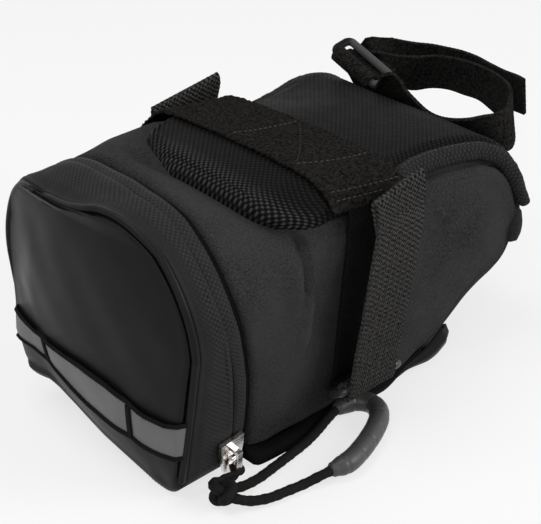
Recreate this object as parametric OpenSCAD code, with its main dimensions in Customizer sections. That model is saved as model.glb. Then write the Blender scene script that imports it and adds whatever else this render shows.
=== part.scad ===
// Saddle bag: a zipped rear lid, a padded top, two side straps through rings
// and a strap that loops round the seat post.
// Forward is +X, left is +Y, up is +Z. Sizes are in millimetres.

/* [Bag body] */
// Length from the rear seam to the nose
bag_length = 150; // [140:1:165]
// Height of the nylon body at the lid seam
bag_height = 90.5; // [84:0.5:98]
// Full width at the shoulders
bag_width = 93; // [87:0.5:100]
// Width of the flat base
base_width = 78; // [72:0.5:84]
// Thickness of the nylon and of the tapes
fabric = 1.6; // [1.2:0.1:2]
// Thickness of the foam between nylon and lining
body_foam_thickness = 2.5; // [1.5:0.1:3.5]
// Thickness of the lining
lining_thickness = 0.6; // [0.4:0.1:1]

/* [Lid] */
// Depth of the lid at the base, from the rear seam to the zip
lid_depth = 19.5; // [17:0.5:22]
// Rise of the rear panel's bulge
panel_bulge = 8; // [5:0.5:11]
// Thickness of the foam behind the rear panel
rear_foam_thickness = 4; // [3:0.5:6]
// Opening between the two zip tapes
zip_gap = 1; // [0.8:0.1:1.4]
// Width of the body's zip tape
tape_width = 6; // [5:0.5:7]
// Width of one half of the zip chain
chain_width = 2.5; // [2:0.1:3]
// Thickness of the zip chain
chain_thickness = 2; // [1.6:0.1:2.4]

/* [Light loop] */
// Height of the lower edge of the reflective band
band_low = 19; // [16:0.5:22]
// Height of the reflective band
band_height = 11.5; // [9:0.5:13]
// Height of each edging
edging_height = 2; // [1.5:0.1:3]
// Stand-off of the band between its bar tacks
band_stand = 1.4; // [0.8:0.1:2.5]

/* [Top pad] */
// Distance of the pad's rear edge from the rear seam
pad_start = 33; // [31:0.5:36]
// Thickness of the pad's foam
pad_foam_thickness = 2; // [1.5:0.1:3]
// Thickness of the pad's skin
pad_skin_thickness = 1; // [0.8:0.1:1.4]
// Width of the pile band across the top
pile_width = 32; // [30:0.5:34]

/* [Side straps] */
// Width of the side straps
strap_width = 20; // [18:0.5:22]
// Thickness of the strap webbing
strap_thickness = 1.4; // [1.1:0.1:1.7]
// Height of the folded tip of each tail
tail_height = 86; // [80:1:92]
// Length of the folded hem
hem_length = 9; // [6:0.5:12]
// Wire diameter of the rings
ring_wire = 3; // [2.6:0.1:3.4]
// Distance between the two bars of a side ring
ring_reach = 7.6; // [7.4:0.1:9]
// Height of a side ring's inner bar
ring_height = 13; // [12:0.5:16]
// Running clearance of a strap round a bar
strap_clearance = 0.3; // [0.25:0.05:0.45]

/* [Seat-post strap] */
// Width of the seat-post strap
post_strap_width = 18; // [16:0.5:20]
// Reach of the loop in front of the nose
post_reach = 28; // [24:1:34]

/* [Zip slider and pull] */
// Width of the slider
slider_width = 9; // [8:0.5:10]
// Length of the slider
slider_length = 12.5; // [11:0.5:14]
// Clearance between the slider's plates and the tapes
slider_clearance = 1; // [0.9:0.1:1.3]
// Thickness of the slider's plates
plate_thickness = 1.3; // [1:0.1:1.6]
// Wire diameter of the pull loop
pull_wire = 1.6; // [1.4:0.1:1.8]
// Length of the pull loop
pull_length = 6; // [5:0.5:6.5]
// Diameter of the pull cord
cord_diameter = 3; // [2.6:0.1:3.4]
// Outer diameter of the moulded grip
grip_diameter = 7.2; // [6.4:0.2:8]

/* [Hidden] */

// the frame's origin is under the middle of the bag, on the floor
front_reach = bag_length + post_reach + 5.72;
rear_reach = panel_bulge + fabric + band_stand + 0.98;
frame_shift = -(front_reach - rear_reach) / 2;

// sizes along the bag: share of the length, share of the full size
top_run = [[0, 0.985], [0.13, 0.995], [0.17, 1], [0.3, 0.97], [0.37, 0.93], [0.58, 0.878],
  [0.71, 0.866], [0.77, 0.858], [0.84, 0.845], [0.9, 0.82], [0.94, 0.785], [0.97, 0.735],
  [0.99, 0.665], [1, 0.605]];
base_run = [[0, 0], [0.5, 0], [0.6, 0.015], [0.71, 0.07], [0.77, 0.118], [0.84, 0.178],
  [0.9, 0.23], [0.94, 0.28], [0.97, 0.34], [0.99, 0.41], [1, 0.475]];
shoulder_run = [[0, 0.4], [0.17, 0.39], [0.3, 0.26], [0.37, 0.165], [0.58, 0.125],
  [0.84, 0.115], [0.94, 0.105], [0.97, 0.095], [0.99, 0.07], [1, 0.035]];
corner_run = [[0, 0.1], [0.4, 0.107], [0.84, 0.09], [0.94, 0.085], [0.97, 0.08],
  [0.99, 0.06], [1, 0.035]];
width_run = [[0, 1], [0.17, 1], [0.3, 0.99], [0.4, 0.98], [0.84, 0.98], [0.94, 0.97],
  [0.99, 0.95], [1, 0.925]];
base_width_run = [[0, 1], [0.17, 1], [0.71, 1.025], [0.84, 1.08], [0.94, 1.1], [1, 1.08]];
crown = 1;

// steps of one half section: base, corner, side, shoulder, top
n_base = 2;
n_corner = 4;
n_side = 5;
n_shoulder = 7;
n_top = 3;
side_start = n_base + n_corner;
side_end = side_start + n_side;
top_start = side_end + n_shoulder;
half_steps = top_start + n_top;
loop_steps = 2 * half_steps;
pad_edge = side_end + 2;

function share(x) = min(1, max(0, x / bag_length));
function floor_at(x) = bag_height * lookup(share(x), base_run);
function roof_at(x) = bag_height * lookup(share(x), top_run);

// half outline of the section at x, as [half width, height], from the base to the top
function outline(x) =
  let (f = share(x), z0 = floor_at(x), zt = roof_at(x),
    big = bag_width * lookup(f, shoulder_run), small = bag_width * lookup(f, corner_run),
    half = bag_width * lookup(f, width_run) / 2,
    foot = base_width * lookup(f, base_width_run) / 2)
  concat(
    [for (k = [0 : n_base - 1]) [(foot - small) * k / n_base, z0]],
    [for (k = [0 : n_corner - 1]) let (a = 90 * k / n_corner)
      [foot - small + small * sin(a), z0 + small - small * cos(a)]],
    [for (k = [0 : n_side - 1]) let (u = k / n_side)
      [foot + (half - foot) * u, z0 + small + (zt - big - z0 - small) * u]],
    [for (k = [0 : n_shoulder - 1]) let (a = 90 * k / n_shoulder)
      [half - big + big * cos(a), zt - big + big * sin(a)]],
    [for (k = [0 : n_top]) let (u = 1 - k / n_top)
      [(half - big) * u, zt + crown * (1 - u * u)]]);

// lines across the bag: distance at the floor, lean per unit of height, sweep back at the top
zip_lean = -0.09;
pad_sweep = 13;
sweep_depth = 14;
lid_lines = [[0, 0, 0], [lid_depth - zip_gap / 2 - chain_width, zip_lean, 0],
  [lid_depth - zip_gap / 2, zip_lean, 0]];
strap_start = 61;
pile_start = strap_start - (pile_width - strap_width) / 2;
seam_x = lid_depth + tape_width;
seam_allowance = 4;
piping_width = 3.2;
base_end = 0.71 * bag_length;
body_lines = [[lid_depth + zip_gap / 2, zip_lean, 0],
  [lid_depth + zip_gap / 2 + chain_width, zip_lean, 0],
  [seam_x, zip_lean, 0], [seam_x + seam_allowance, zip_lean, 0],
  [pad_start, 0, pad_sweep], [pad_start + piping_width, 0, pad_sweep],
  [pile_start, 0, 0], [strap_start, 0, 0], [strap_start + strap_width, 0, 0],
  [pile_start + pile_width, 0, 0], [base_end, 0, 0], [0.77 * bag_length, 0, 0],
  [0.84 * bag_length, 0, 0], [0.9 * bag_length, 0, 0], [0.94 * bag_length, 0, 0],
  [0.97 * bag_length, 0, 0], [0.99 * bag_length, 0, 0], [bag_length, 0, 0]];
// places in that list
at_zip = 0;
at_chain = 1;
at_seam = 2;
at_allowance = 3;
at_pad = 4;
at_piping = 5;
at_pile = 6;
at_strap = 7;
at_strap_end = 8;
at_pile_end = 9;
at_base_end = 10;
at_front = 11;
at_post = 13;
at_deep = 14;
at_post_end = 16;
at_nose = 17;

function ease(u) = let (v = min(1, max(0, u))) v * v * (3 - 2 * v);
function line_x(line, z, zt) =
  line[0] + line[1] * z + line[2] * ease((zt - z) / sweep_depth) + frame_shift;
function ring_points(line) =
  let (x = line[0] + line[2], half = outline(x), zt = roof_at(x))
  [for (j = [0 : loop_steps - 1])
    let (p = half[j <= half_steps ? j : loop_steps - j])
    [line_x(line, p[1], zt), j <= half_steps ? -p[0] : p[0], p[1]]];
function unit(v) = v / norm(v);
function normals(g) = [for (i = [0 : len(g) - 1]) [for (j = [0 : loop_steps - 1])
  unit(cross(g[min(i + 1, len(g) - 1)][j] - g[max(i - 1, 0)][j],
    g[i][(j + 1) % loop_steps] - g[i][(j + loop_steps - 1) % loop_steps]))]];

lid_grid = [for (line = lid_lines) ring_points(line)];
lid_normals = normals(lid_grid);
body_grid = [for (line = body_lines) ring_points(line)];
body_normals = normals(body_grid);

function spot(i, j, off) = body_grid[i][j] + off * body_normals[i][j];

function within(v, r) = v >= r[0] && v < r[1];
function any_cell(i, j, cells) = len([for (c = cells) if (within(i, c[0]) && within(j, c[1])) 1]) > 0;

// a sheet on the grid: inner and outer offset, and boxes of cells [[i0, i1], [j0, j1]]
module sheet(g, n, low, high, cells, closed = false) {
  rows = len(g);
  points = [for (off = [low, high]) for (i = [0 : rows - 1]) for (j = [0 : loop_steps - 1])
    g[i][j] + off * n[i][j]];
  wide = rows * loop_steps;
  faces = [for (i = [0 : rows - 2]) for (j = [0 : loop_steps - 1])
    if (any_cell(i, j, cells))
      let (k = (j + 1) % loop_steps, a = i * loop_steps + j, b = i * loop_steps + k,
        c = (i + 1) * loop_steps + k, d = (i + 1) * loop_steps + j,
        before = (j + loop_steps - 1) % loop_steps)
      each concat(
        [[a + wide, b + wide, c + wide], [a + wide, c + wide, d + wide], [c, b, a], [d, c, a]],
        any_cell(i, before, cells) ? [] : [[a, a + wide, d + wide], [a, d + wide, d]],
        any_cell(i, k, cells) ? [] : [[b, c + wide, b + wide], [b, c, c + wide]],
        any_cell(i - 1, j, cells) ? [] : [[a, b + wide, a + wide], [a, b, b + wide]],
        any_cell(i + 1, j, cells) ? [] : [[d, d + wide, c + wide], [d, c + wide, c]])];
  polyhedron(points = points, faces = faces, convexity = 8);
}

module body_sheet(low, high, cells) {
  sheet(body_grid, body_normals, low, high, cells);
}

module lid_sheet(low, high, cells) {
  sheet(lid_grid, lid_normals, low, high, cells);
}

// ranges of cells round the loop
all_round = [0, loop_steps];
over_top = [side_start, loop_steps - side_start];
base_right = [0, side_start];
base_left = [loop_steps - side_start, loop_steps];
zip_arch = [side_start - 2, loop_steps - side_start + 2];

// Lid pieces

// rows of the rear panel as [height, half width], with lines at the reflective band
rear_outline = outline(0);
function rear_half(z) =
  let (a = rear_outline[side_start], b = rear_outline[side_end], u = (z - a[1]) / (b[1] - a[1]))
  a[0] + (b[0] - a[0]) * u;
band_lines = [band_low - edging_height, band_low, band_low + band_height,
  band_low + band_height + edging_height, band_low + band_height + edging_height + 9];
rear_rows = concat(
  [for (k = [n_base : side_start]) [rear_outline[k][1], rear_outline[k][0]]],
  [for (z = band_lines) [z, rear_half(z)]],
  [for (k = [side_end : top_start]) [rear_outline[k][1], rear_outline[k][0]]]);
tack_share = 0.55;
tack_half = 0.02;
rim_share = 0.965;
rear_columns = [-1, -rim_share, -0.85, -0.7, -tack_share - tack_half, -tack_share + tack_half, -0.3,
  0, 0.3, tack_share - tack_half, tack_share + tack_half, 0.7, 0.85, rim_share, 1];
last_row = len(rear_rows) - 1;
last_column = len(rear_columns) - 1;
band_row = n_corner + 2;

function bulge(r, t) =
  let (z = rear_rows[r][0], low = rear_rows[1][0], high = rear_rows[last_row - 1][0],
    u = min(1, max(0, (z - low) / (high - low))), v = min(1, abs(t) / rim_share))
  panel_bulge * pow(sin(180 * u), 0.6) * pow(1 - v * v, 0.75);
function is_held(c) = c <= 1 || c >= last_column - 1 || abs(abs(rear_columns[c]) - tack_share) < 0.05;
function rear_point(r, c, depth, stand) =
  [frame_shift - bulge(r, rear_columns[c]) - depth - (is_held(c) ? 0 : stand),
    rear_columns[c] * rear_rows[r][1], rear_rows[r][0]];

// a sheet on the rear panel: inner and outer depth, stand-off, rows and columns
module rear_sheet(low, high, stand, r0, r1, c0, c1) {
  wide = c1 - c0 + 1;
  count = wide * (r1 - r0 + 1);
  points = [for (depth = [low, high]) for (r = [r0 : r1]) for (c = [c0 : c1])
    rear_point(r, c, depth, stand)];
  faces = [for (r = [0 : r1 - r0 - 1]) for (c = [0 : c1 - c0 - 1])
    let (a = r * wide + c, b = a + 1, d = a + wide, e = d + 1)
    each concat(
      [[e, b, a], [d, e, a], [a + count, b + count, e + count], [a + count, e + count, d + count]],
      c > 0 ? [] : [[a + count, d + count, a], [d + count, d, a]],
      c < c1 - c0 - 1 ? [] : [[e + count, b + count, b], [e, e + count, b]],
      r > 0 ? [] : [[b + count, a + count, a], [b, b + count, a]],
      r < r1 - r0 - 1 ? [] : [[d + count, e + count, d], [e + count, e, d]])];
  polyhedron(points = points, faces = faces, convexity = 8);
}

module rear_panel() {
  color([0.12, 0.12, 0.13])
    rear_sheet(0, fabric, 0, 0, last_row, 0, last_column);
}

module rear_foam() {
  color([0.3, 0.3, 0.32])
    rear_sheet(-rear_foam_thickness, 0, 0, 3, last_row - 3, 2, last_column - 2);
}

module rear_lining() {
  color([0.25, 0.25, 0.28])
    rear_sheet(-rear_foam_thickness - lining_thickness, -rear_foam_thickness, 0,
      3, last_row - 3, 2, last_column - 2);
}

module lid_gusset() {
  color([0.17, 0.17, 0.18])
    lid_sheet(-fabric, 0, [[[0, 2], all_round]]);
}

module lid_zip_chain() {
  color([0.08, 0.08, 0.08])
    lid_sheet(-fabric - chain_thickness, -fabric, [[[1, 2], zip_arch]]);
}

band_cover = 0.9;
edging_cover = 1.5;
tack_cover = 0.5;

module reflective_band() {
  color([0.45, 0.46, 0.47])
    rear_sheet(fabric, fabric + band_cover, band_stand, band_row, band_row + 1, 1, last_column - 1);
}

module band_upper_edging() {
  color([0.1, 0.1, 0.1])
    rear_sheet(fabric, fabric + edging_cover, band_stand, band_row + 1, band_row + 2,
      1, last_column - 1);
}

module band_lower_edging() {
  color([0.1, 0.1, 0.1])
    rear_sheet(fabric, fabric + edging_cover, band_stand, band_row - 1, band_row,
      1, last_column - 1);
}

module band_bar_tacks() {
  color([0.08, 0.08, 0.08])
    for (c = [4, last_column - 5])
      rear_sheet(fabric + band_cover, fabric + band_cover + tack_cover, 0, band_row, band_row + 1,
        c, c + 1);
}

// Bag pieces

module body_wrap() {
  color([0.19, 0.19, 0.2])
    body_sheet(-fabric, 0, [[[at_seam, at_nose], over_top]]);
}

module base_panel() {
  color([0.14, 0.14, 0.15])
    body_sheet(-fabric, 0, [[[at_seam, at_base_end], base_right], [[at_seam, at_base_end], base_left]]);
}

module front_panel() {
  color([0.19, 0.19, 0.2])
    body_sheet(-fabric, 0, [[[at_base_end, at_nose], base_right], [[at_base_end, at_nose], base_left]]);
}

nose_cover = 1.2;

module nose_binding() {
  nose = ring_points(body_lines[at_nose]);
  color([0.2, 0.2, 0.21])
    translate([bag_length + frame_shift, 0, 0])
      rotate([90, 0, 90])
        linear_extrude(height = nose_cover)
          polygon([for (p = nose) [p[1], p[2]]]);
}

patch_thickness = 1;

module base_patch() {
  color([0.13, 0.13, 0.14])
    body_sheet(0, patch_thickness, [[[at_pile_end, at_front], [0, side_start - 1]],
      [[at_pile_end, at_front], [loop_steps - side_start + 1, loop_steps]]]);
}

module body_zip_tape() {
  color([0.17, 0.17, 0.18])
    body_sheet(-fabric, 0, [[[at_zip, at_seam], zip_arch]]);
}

module body_zip_chain() {
  color([0.08, 0.08, 0.08])
    body_sheet(-fabric - chain_thickness, -fabric, [[[at_zip, at_chain], zip_arch]]);
}

binding_thickness = 1;

module seam_binding() {
  color([0.1, 0.1, 0.1])
    body_sheet(-fabric - binding_thickness, -fabric, [[[at_seam, at_allowance], all_round]]);
}

hinge_x = lid_depth + 2.5;
hinge_z = 1;
hinge_radius = 0.8;
hinge_half = base_width / 2 - bag_width * 0.1 - 1;

module lid_hinge_strip() {
  color([0.12, 0.12, 0.13])
    union() {
      translate([hinge_x + frame_shift, hinge_half, hinge_z])
        rotate([90, 0, 0])
          cylinder(h = 2 * hinge_half, r = hinge_radius, $fn = 24);
      translate([hinge_x + frame_shift, -hinge_half, hinge_z - hinge_radius])
        cube([seam_x - hinge_x, 2 * hinge_half, 2 * hinge_radius]);
    }
}

pad_thickness = pad_foam_thickness + pad_skin_thickness;
pad_cells = [[[at_piping, at_post_end], [pad_edge + 1, loop_steps - pad_edge - 1]]];

module top_pad_skin() {
  color([0.15, 0.15, 0.16])
    body_sheet(pad_foam_thickness, pad_thickness, pad_cells);
}

module top_pad_foam() {
  color([0.3, 0.3, 0.32])
    body_sheet(0, pad_foam_thickness, pad_cells);
}

piping_extra = 0.2;

module pad_piping() {
  color([0.2, 0.2, 0.21])
    body_sheet(0, pad_thickness + piping_extra, [
      [[at_pad, at_nose], [pad_edge, pad_edge + 1]],
      [[at_pad, at_nose], [loop_steps - pad_edge - 1, loop_steps - pad_edge]],
      [[at_pad, at_piping], [pad_edge, loop_steps - pad_edge]],
      [[at_post_end, at_nose], [pad_edge, loop_steps - pad_edge]]]);
}

module top_pile_band() {
  color([0.11, 0.1, 0.1])
    body_sheet(pad_thickness, pad_thickness + strap_thickness,
      [[[at_pile, at_pile_end], [pad_edge + 1, loop_steps - pad_edge - 1]]]);
}

module body_foam() {
  color([0.3, 0.3, 0.32])
    body_sheet(-fabric - body_foam_thickness, -fabric, [[[at_pad, at_deep], over_top]]);
}

module base_board() {
  color([0.5, 0.5, 0.52])
    body_sheet(-fabric - body_foam_thickness, -fabric,
      [[[at_pad, at_base_end], base_right], [[at_pad, at_base_end], base_left]]);
}

module body_lining() {
  deep = fabric + body_foam_thickness;
  color([0.25, 0.25, 0.28])
    body_sheet(-deep - lining_thickness, -deep, [[[at_pad, at_deep], all_round]]);
}

// Side straps and rings

bar_radius = ring_wire / 2;
sleeve_in = bar_radius + strap_clearance;
sleeve_out = sleeve_in + strap_thickness;
strap_middle = strap_start + strap_width / 2;
function side_y(x, z) =
  let (h = outline(x), a = h[side_start], b = h[side_end])
  a[0] + (b[0] - a[0]) * (z - a[1]) / (b[1] - a[1]);
bar_rise = 4;
inner_bar = [side_y(strap_middle, ring_height) + sleeve_out + strap_thickness / 4, ring_height];
outer_bar = inner_bar + [sqrt(ring_reach * ring_reach - bar_rise * bar_rise), bar_rise];
ring_slack = 1;
ring_length = strap_width + 2 * ring_slack;

// places a profile drawn in [outward, up] on the right side and pulls it along the strap's width
module across_strap(width, side) {
  translate([strap_middle - width / 2 + frame_shift, 0, 0])
    rotate([90, 0, 90])
      linear_extrude(height = width)
        mirror([side > 0 ? 1 : 0, 0])
          children();
}

module sleeve_profile(centre) {
  translate(centre)
    difference() {
      circle(r = sleeve_out, $fn = 48);
      circle(r = sleeve_in, $fn = 48);
    }
}

module side_strap(side) {
  low = side > 0 ? side_start : loop_steps - pad_edge;
  high = side > 0 ? pad_edge : loop_steps - side_start;
  union() {
    body_sheet(0, strap_thickness, [[[at_strap, at_strap_end], [low, high]]]);
    across_strap(strap_width, side)
      sleeve_profile(inner_bar);
  }
}

module right_side_strap() {
  color([0.1, 0.1, 0.1])
    side_strap(1);
}

module left_side_strap() {
  color([0.1, 0.1, 0.1])
    side_strap(-1);
}

// a closed wire loop in the x-z plane, measured between the middle lines of its bars
module wire_loop(length, reach, r) {
  bend = r * 1.45;
  union() {
    for (s = [-1, 1]) {
      translate([s * reach / 2, 0, bend - length / 2])
        cylinder(h = length - 2 * bend, r = r, $fn = 32);
      translate([bend - reach / 2, 0, s * length / 2])
        rotate([0, 90, 0])
          cylinder(h = reach - 2 * bend, r = r, $fn = 32);
    }
    for (mx = [0, 1])
      for (mz = [0, 1])
        mirror([mx, 0, 0])
          mirror([0, 0, mz])
            translate([reach / 2 - bend, 0, length / 2 - bend])
              rotate([90, 0, 0])
                rotate_extrude(angle = 90, $fn = 48)
                  translate([bend, 0])
                    circle(r = r, $fn = 32);
  }
}

module side_ring(side) {
  middle = (inner_bar + outer_bar) / 2;
  tilt = atan2(outer_bar[0] - inner_bar[0], bar_rise);
  translate([strap_middle + frame_shift, -side * middle[0], middle[1]])
    rotate([side * tilt, 0, 0])
      rotate([0, 90, 0])
        wire_loop(ring_length + 2 * bar_radius, ring_reach, bar_radius);
}

module right_ring() {
  color([0.25, 0.25, 0.26])
    side_ring(1);
}

module left_ring() {
  color([0.25, 0.25, 0.26])
    side_ring(-1);
}

// middle line of a tail from the ring up to the tip, as [outward, up]
tail_foot = outer_bar + [sleeve_in + strap_thickness / 2, 0];
tail_lean = 2.2;
tail_line = [tail_foot, tail_foot + [tail_lean / 3, 14], [tail_foot[0] + tail_lean, tail_height * 0.58],
  [tail_foot[0] + tail_lean, tail_height * 0.86], [tail_foot[0] + tail_lean * 0.8, tail_height]];
function across(p, i) = let (d = unit(p[min(i + 1, len(p) - 1)] - p[max(i - 1, 0)])) [d[1], -d[0]];
function strip(p, inward, outward) = concat(
  [for (i = [0 : len(p) - 1]) p[i] + outward * across(p, i)],
  [for (i = [len(p) - 1 : -1 : 0]) p[i] - inward * across(p, i)]);

module strap_tail(side) {
  tip = tail_line[len(tail_line) - 1];
  across_strap(strap_width, side)
    union() {
      sleeve_profile(outer_bar);
      polygon(strip(tail_line, strap_thickness / 2, strap_thickness / 2));
      translate([tip[0] + strap_thickness / 2, tip[1] - hem_length])
        square([strap_thickness * 0.8, hem_length]);
    }
}

module right_strap_tail() {
  color([0.13, 0.13, 0.13])
    strap_tail(1);
}

module left_strap_tail() {
  color([0.13, 0.13, 0.13])
    strap_tail(-1);
}

// Seat-post strap

// a flat strap through middle points with half-width vectors
module ribbon(p, w, t) {
  last = len(p) - 1;
  side = [for (i = [0 : last]) unit(cross(p[min(i + 1, last)] - p[max(i - 1, 0)], w[i])) * t / 2];
  points = [for (i = [0 : last]) each [p[i] + w[i] + side[i], p[i] - w[i] + side[i],
    p[i] - w[i] - side[i], p[i] + w[i] - side[i]]];
  faces = concat([[0, 1, 2], [0, 2, 3], [4 * last + 2, 4 * last + 1, 4 * last],
    [4 * last + 3, 4 * last + 2, 4 * last]],
    [for (i = [0 : last - 1]) for (k = [0 : 3])
      let (a = 4 * i + k, b = 4 * i + (k + 1) % 4) each [[a, a + 4, b + 4], [a, b + 4, b]]]);
  polyhedron(points = points, faces = faces, convexity = 6);
}

post_half = post_strap_width / 2;
function wide(v) = unit(v) * post_half;
sewn_right = top_start + 1;
sewn_left = loop_steps - top_start - 1;
sewn_off = pad_thickness + strap_thickness / 2;
// the strap's flat start lies on the crest of the nose between its sewn edges
sewn_lift = 2.3;
function sewn_middle(j) = (spot(at_post, j, sewn_off) + spot(at_post_end, j, sewn_off)) / 2
  + sewn_lift * unit(body_normals[at_post][j] + body_normals[at_post_end][j]);
function sewn_width(j) = wide(spot(at_post, j, sewn_off) - spot(at_post_end, j, sewn_off));
loop_x = bag_length + post_reach + frame_shift;
nose_x = bag_length + frame_shift;
loop_z = bag_height * 0.775;
ring_bar_dir = unit([0, 0.93, 0.36]);
post_ring_centre = [nose_x - 3.5, 29, bag_height * 0.905];
post_ring_turn = -16.4;
post_ring_reach = ring_reach + 0.3;
post_bar_offset = post_ring_reach / 2 * [cos(post_ring_turn),
  sin(post_ring_turn) * ring_bar_dir[2], -sin(post_ring_turn) * ring_bar_dir[1]];
post_front_bar = post_ring_centre + post_bar_offset;
post_rear_bar = post_ring_centre - post_bar_offset;
post_ring_half = post_half + 1 + bar_radius;
bar_under = [0, ring_bar_dir[2], -ring_bar_dir[1]];
sleeve_middle = sleeve_in + strap_thickness / 2;
post_line = [sewn_middle(sewn_right) + [0, 3, 0], sewn_middle(sewn_right) + [1.5, -1.5, 0],
  [nose_x, -26.5, loop_z + 1.5],
  [nose_x + post_reach * 0.28, -27, loop_z + 1], [nose_x + post_reach * 0.64, -20, loop_z + 0.5],
  [nose_x + post_reach * 0.91, -6, loop_z], [loop_x, 9, loop_z],
  [nose_x + post_reach * 0.93, 21, loop_z + 1.5], [nose_x + post_reach * 0.7, 28, loop_z + 4.5],
  [nose_x + post_reach * 0.45, 29.5, loop_z + 8], post_front_bar + [4.4, 0, 0] - 1.4 * bar_under,
  post_front_bar + [0.5, 0, 0] - sleeve_middle * bar_under];
post_width = [sewn_width(sewn_right), sewn_width(sewn_right), wide([-0.55, 0, 0.84]),
  wide([-0.33, 0, 0.94]),
  wide([-0.16, 0, 0.99]), wide([-0.1, 0, 1]), wide([-0.1, 0, 1]), wide([-0.2, 0.2, 0.95]),
  wide([-0.2, 0.55, 0.8]), wide([-0.1, 0.8, 0.55]), wide(ring_bar_dir), wide(ring_bar_dir)];
// the strap folds round the ring's front bar and comes back along the outside of the loop
post_hinge = [nose_x + post_reach * 0.8, 36.8, loop_z + 6];
post_hinge_way = unit([0.85, -0.4, -0.34]);
post_hinge_width = [0, 0.25, 0.97];
post_hinge_gap = 0.48;
fold_line = [post_front_bar + [0.5, 0, 0] + sleeve_middle * bar_under,
  post_front_bar + [4.5, 3.4, 0] + sleeve_middle * 1.2 * bar_under,
  [nose_x + post_reach * 0.5, 37, loop_z + 9.5], post_hinge - post_hinge_gap * post_hinge_way];
fold_width = [wide(ring_bar_dir), wide(ring_bar_dir), wide([-0.1, 0.75, 0.6]), wide(post_hinge_width)];

module post_strap() {
  color([0.14, 0.13, 0.13])
    union() {
      body_sheet(pad_thickness, pad_thickness + strap_thickness,
        [[[at_post, at_post_end], [sewn_right, sewn_left - 2]]]);
      ribbon(post_line, post_width, strap_thickness);
      post_sleeve(post_front_bar);
      ribbon(fold_line, fold_width, strap_thickness);
    }
}

module on_post_bar(centre) {
  translate(centre)
    rotate([-atan2(ring_bar_dir[1], ring_bar_dir[2]), 0, 0])
      children();
}

module post_sleeve(centre) {
  on_post_bar(centre)
    difference() {
      cylinder(h = post_strap_width, r = sleeve_out, center = true, $fn = 48);
      cylinder(h = post_strap_width + 1, r = sleeve_in, center = true, $fn = 48);
    }
}

tab_line = [spot(at_post, sewn_left - 1, sewn_off) + [-7, 9, 2.6],
  spot(at_post, sewn_left - 1, sewn_off) + [-1.5, 13, 4.2],
  post_rear_bar + [-sleeve_middle - 1.2, 0, -0.2], post_rear_bar + [-sleeve_middle, 0, 0.3]];
tab_width = [wide([0, 1, 0]), wide([0, 1, 0.15]), wide(ring_bar_dir), wide(ring_bar_dir)];

module post_tab() {
  color([0.12, 0.12, 0.12])
    union() {
      post_sleeve(post_rear_bar);
      ribbon(tab_line, tab_width, strap_thickness);
    }
}

module post_ring() {
  color([0.3, 0.3, 0.31])
    on_post_bar(post_ring_centre)
      rotate([0, 0, post_ring_turn])
        wire_loop(2 * post_ring_half, post_ring_reach, bar_radius);
}

post_tail_line = [post_hinge + post_hinge_gap * post_hinge_way,
  [loop_x + 1.5, 28, loop_z + 3], [loop_x + 4.2, 13, loop_z + 2],
  [loop_x + 3.4, -4, loop_z + 2], [nose_x + post_reach, -18, loop_z + 2],
  [nose_x + post_reach * 0.88, -24, loop_z + 2]];
post_tail_width = [wide(post_hinge_width), wide([-0.15, 0.1, 0.98]),
  for (k = [2 : len(post_tail_line) - 1]) wide([-0.1, 0, 1])];

module post_strap_tail() {
  color([0.14, 0.13, 0.13])
    ribbon(post_tail_line, post_tail_width, strap_thickness);
}

// Zip slider and pull

zip_line = [lid_depth, zip_lean, 0];
zip_points = ring_points(zip_line);
zip_foot = zip_points[side_start];
zip_way = unit(zip_points[side_end] - zip_foot);
slider_rest = -0.4;
slider_turn = [asin(-zip_way[1]), atan2(zip_way[0], zip_way[2]), 0];

// places a piece drawn with the tape's outer face at y = 0 and the zip along z
module on_zip() {
  translate(zip_foot + slider_rest * zip_way)
    rotate(slider_turn)
      children();
}

slider_half = slider_width / 2;
plate_out = -slider_clearance - plate_thickness;
bail_width = 1.8;
bail_depth = 3.6;
bail_length = 7.4;
bail_bar = 1.2;
bail_leg = 1.4;
window_length = bail_length - 2 * bail_leg;
bridge_width = zip_gap / 2;
bridge_length = 3;
inner_face = fabric + chain_thickness + slider_clearance;

module slider_plate(y, z0) {
  translate([0, y + plate_thickness, 0])
    rotate([90, 0, 0])
      linear_extrude(height = plate_thickness)
        polygon([[-slider_half * 0.68, z0], [slider_half * 0.68, z0],
          [slider_half, slider_length * 0.22], [slider_half, slider_length / 2],
          [-slider_half, slider_length / 2], [-slider_half, slider_length * 0.22]]);
}

module zip_slider() {
  color([0.75, 0.74, 0.7])
    on_zip()
      union() {
        slider_plate(plate_out, -slider_length / 2);
        slider_plate(inner_face, 1);
        translate([-bridge_width / 2, -slider_clearance - 0.1, slider_length / 2 - bridge_length - 0.5])
          cube([bridge_width, inner_face + slider_clearance + 0.2, bridge_length]);
        difference() {
          translate([-bail_width / 2, plate_out - bail_depth, -bail_length / 2])
            cube([bail_width, bail_depth + 0.2, bail_length]);
          translate([-bail_width, plate_out - bail_depth + bail_bar, -window_length / 2])
            cube([2 * bail_width, bail_depth - bail_bar, window_length]);
        }
      }
}

pull_radius = pull_wire / 2;
pull_y = plate_out - (bail_depth - bail_bar) / 2;
pull_z = -1;
pull_half = bail_width / 2 + 0.5 + pull_radius;

module pull_loop() {
  color([0.75, 0.74, 0.7])
    on_zip()
      translate([0, pull_y, pull_z - pull_length / 2])
        wire_loop(pull_length, 2 * pull_half, pull_radius);
}

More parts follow.
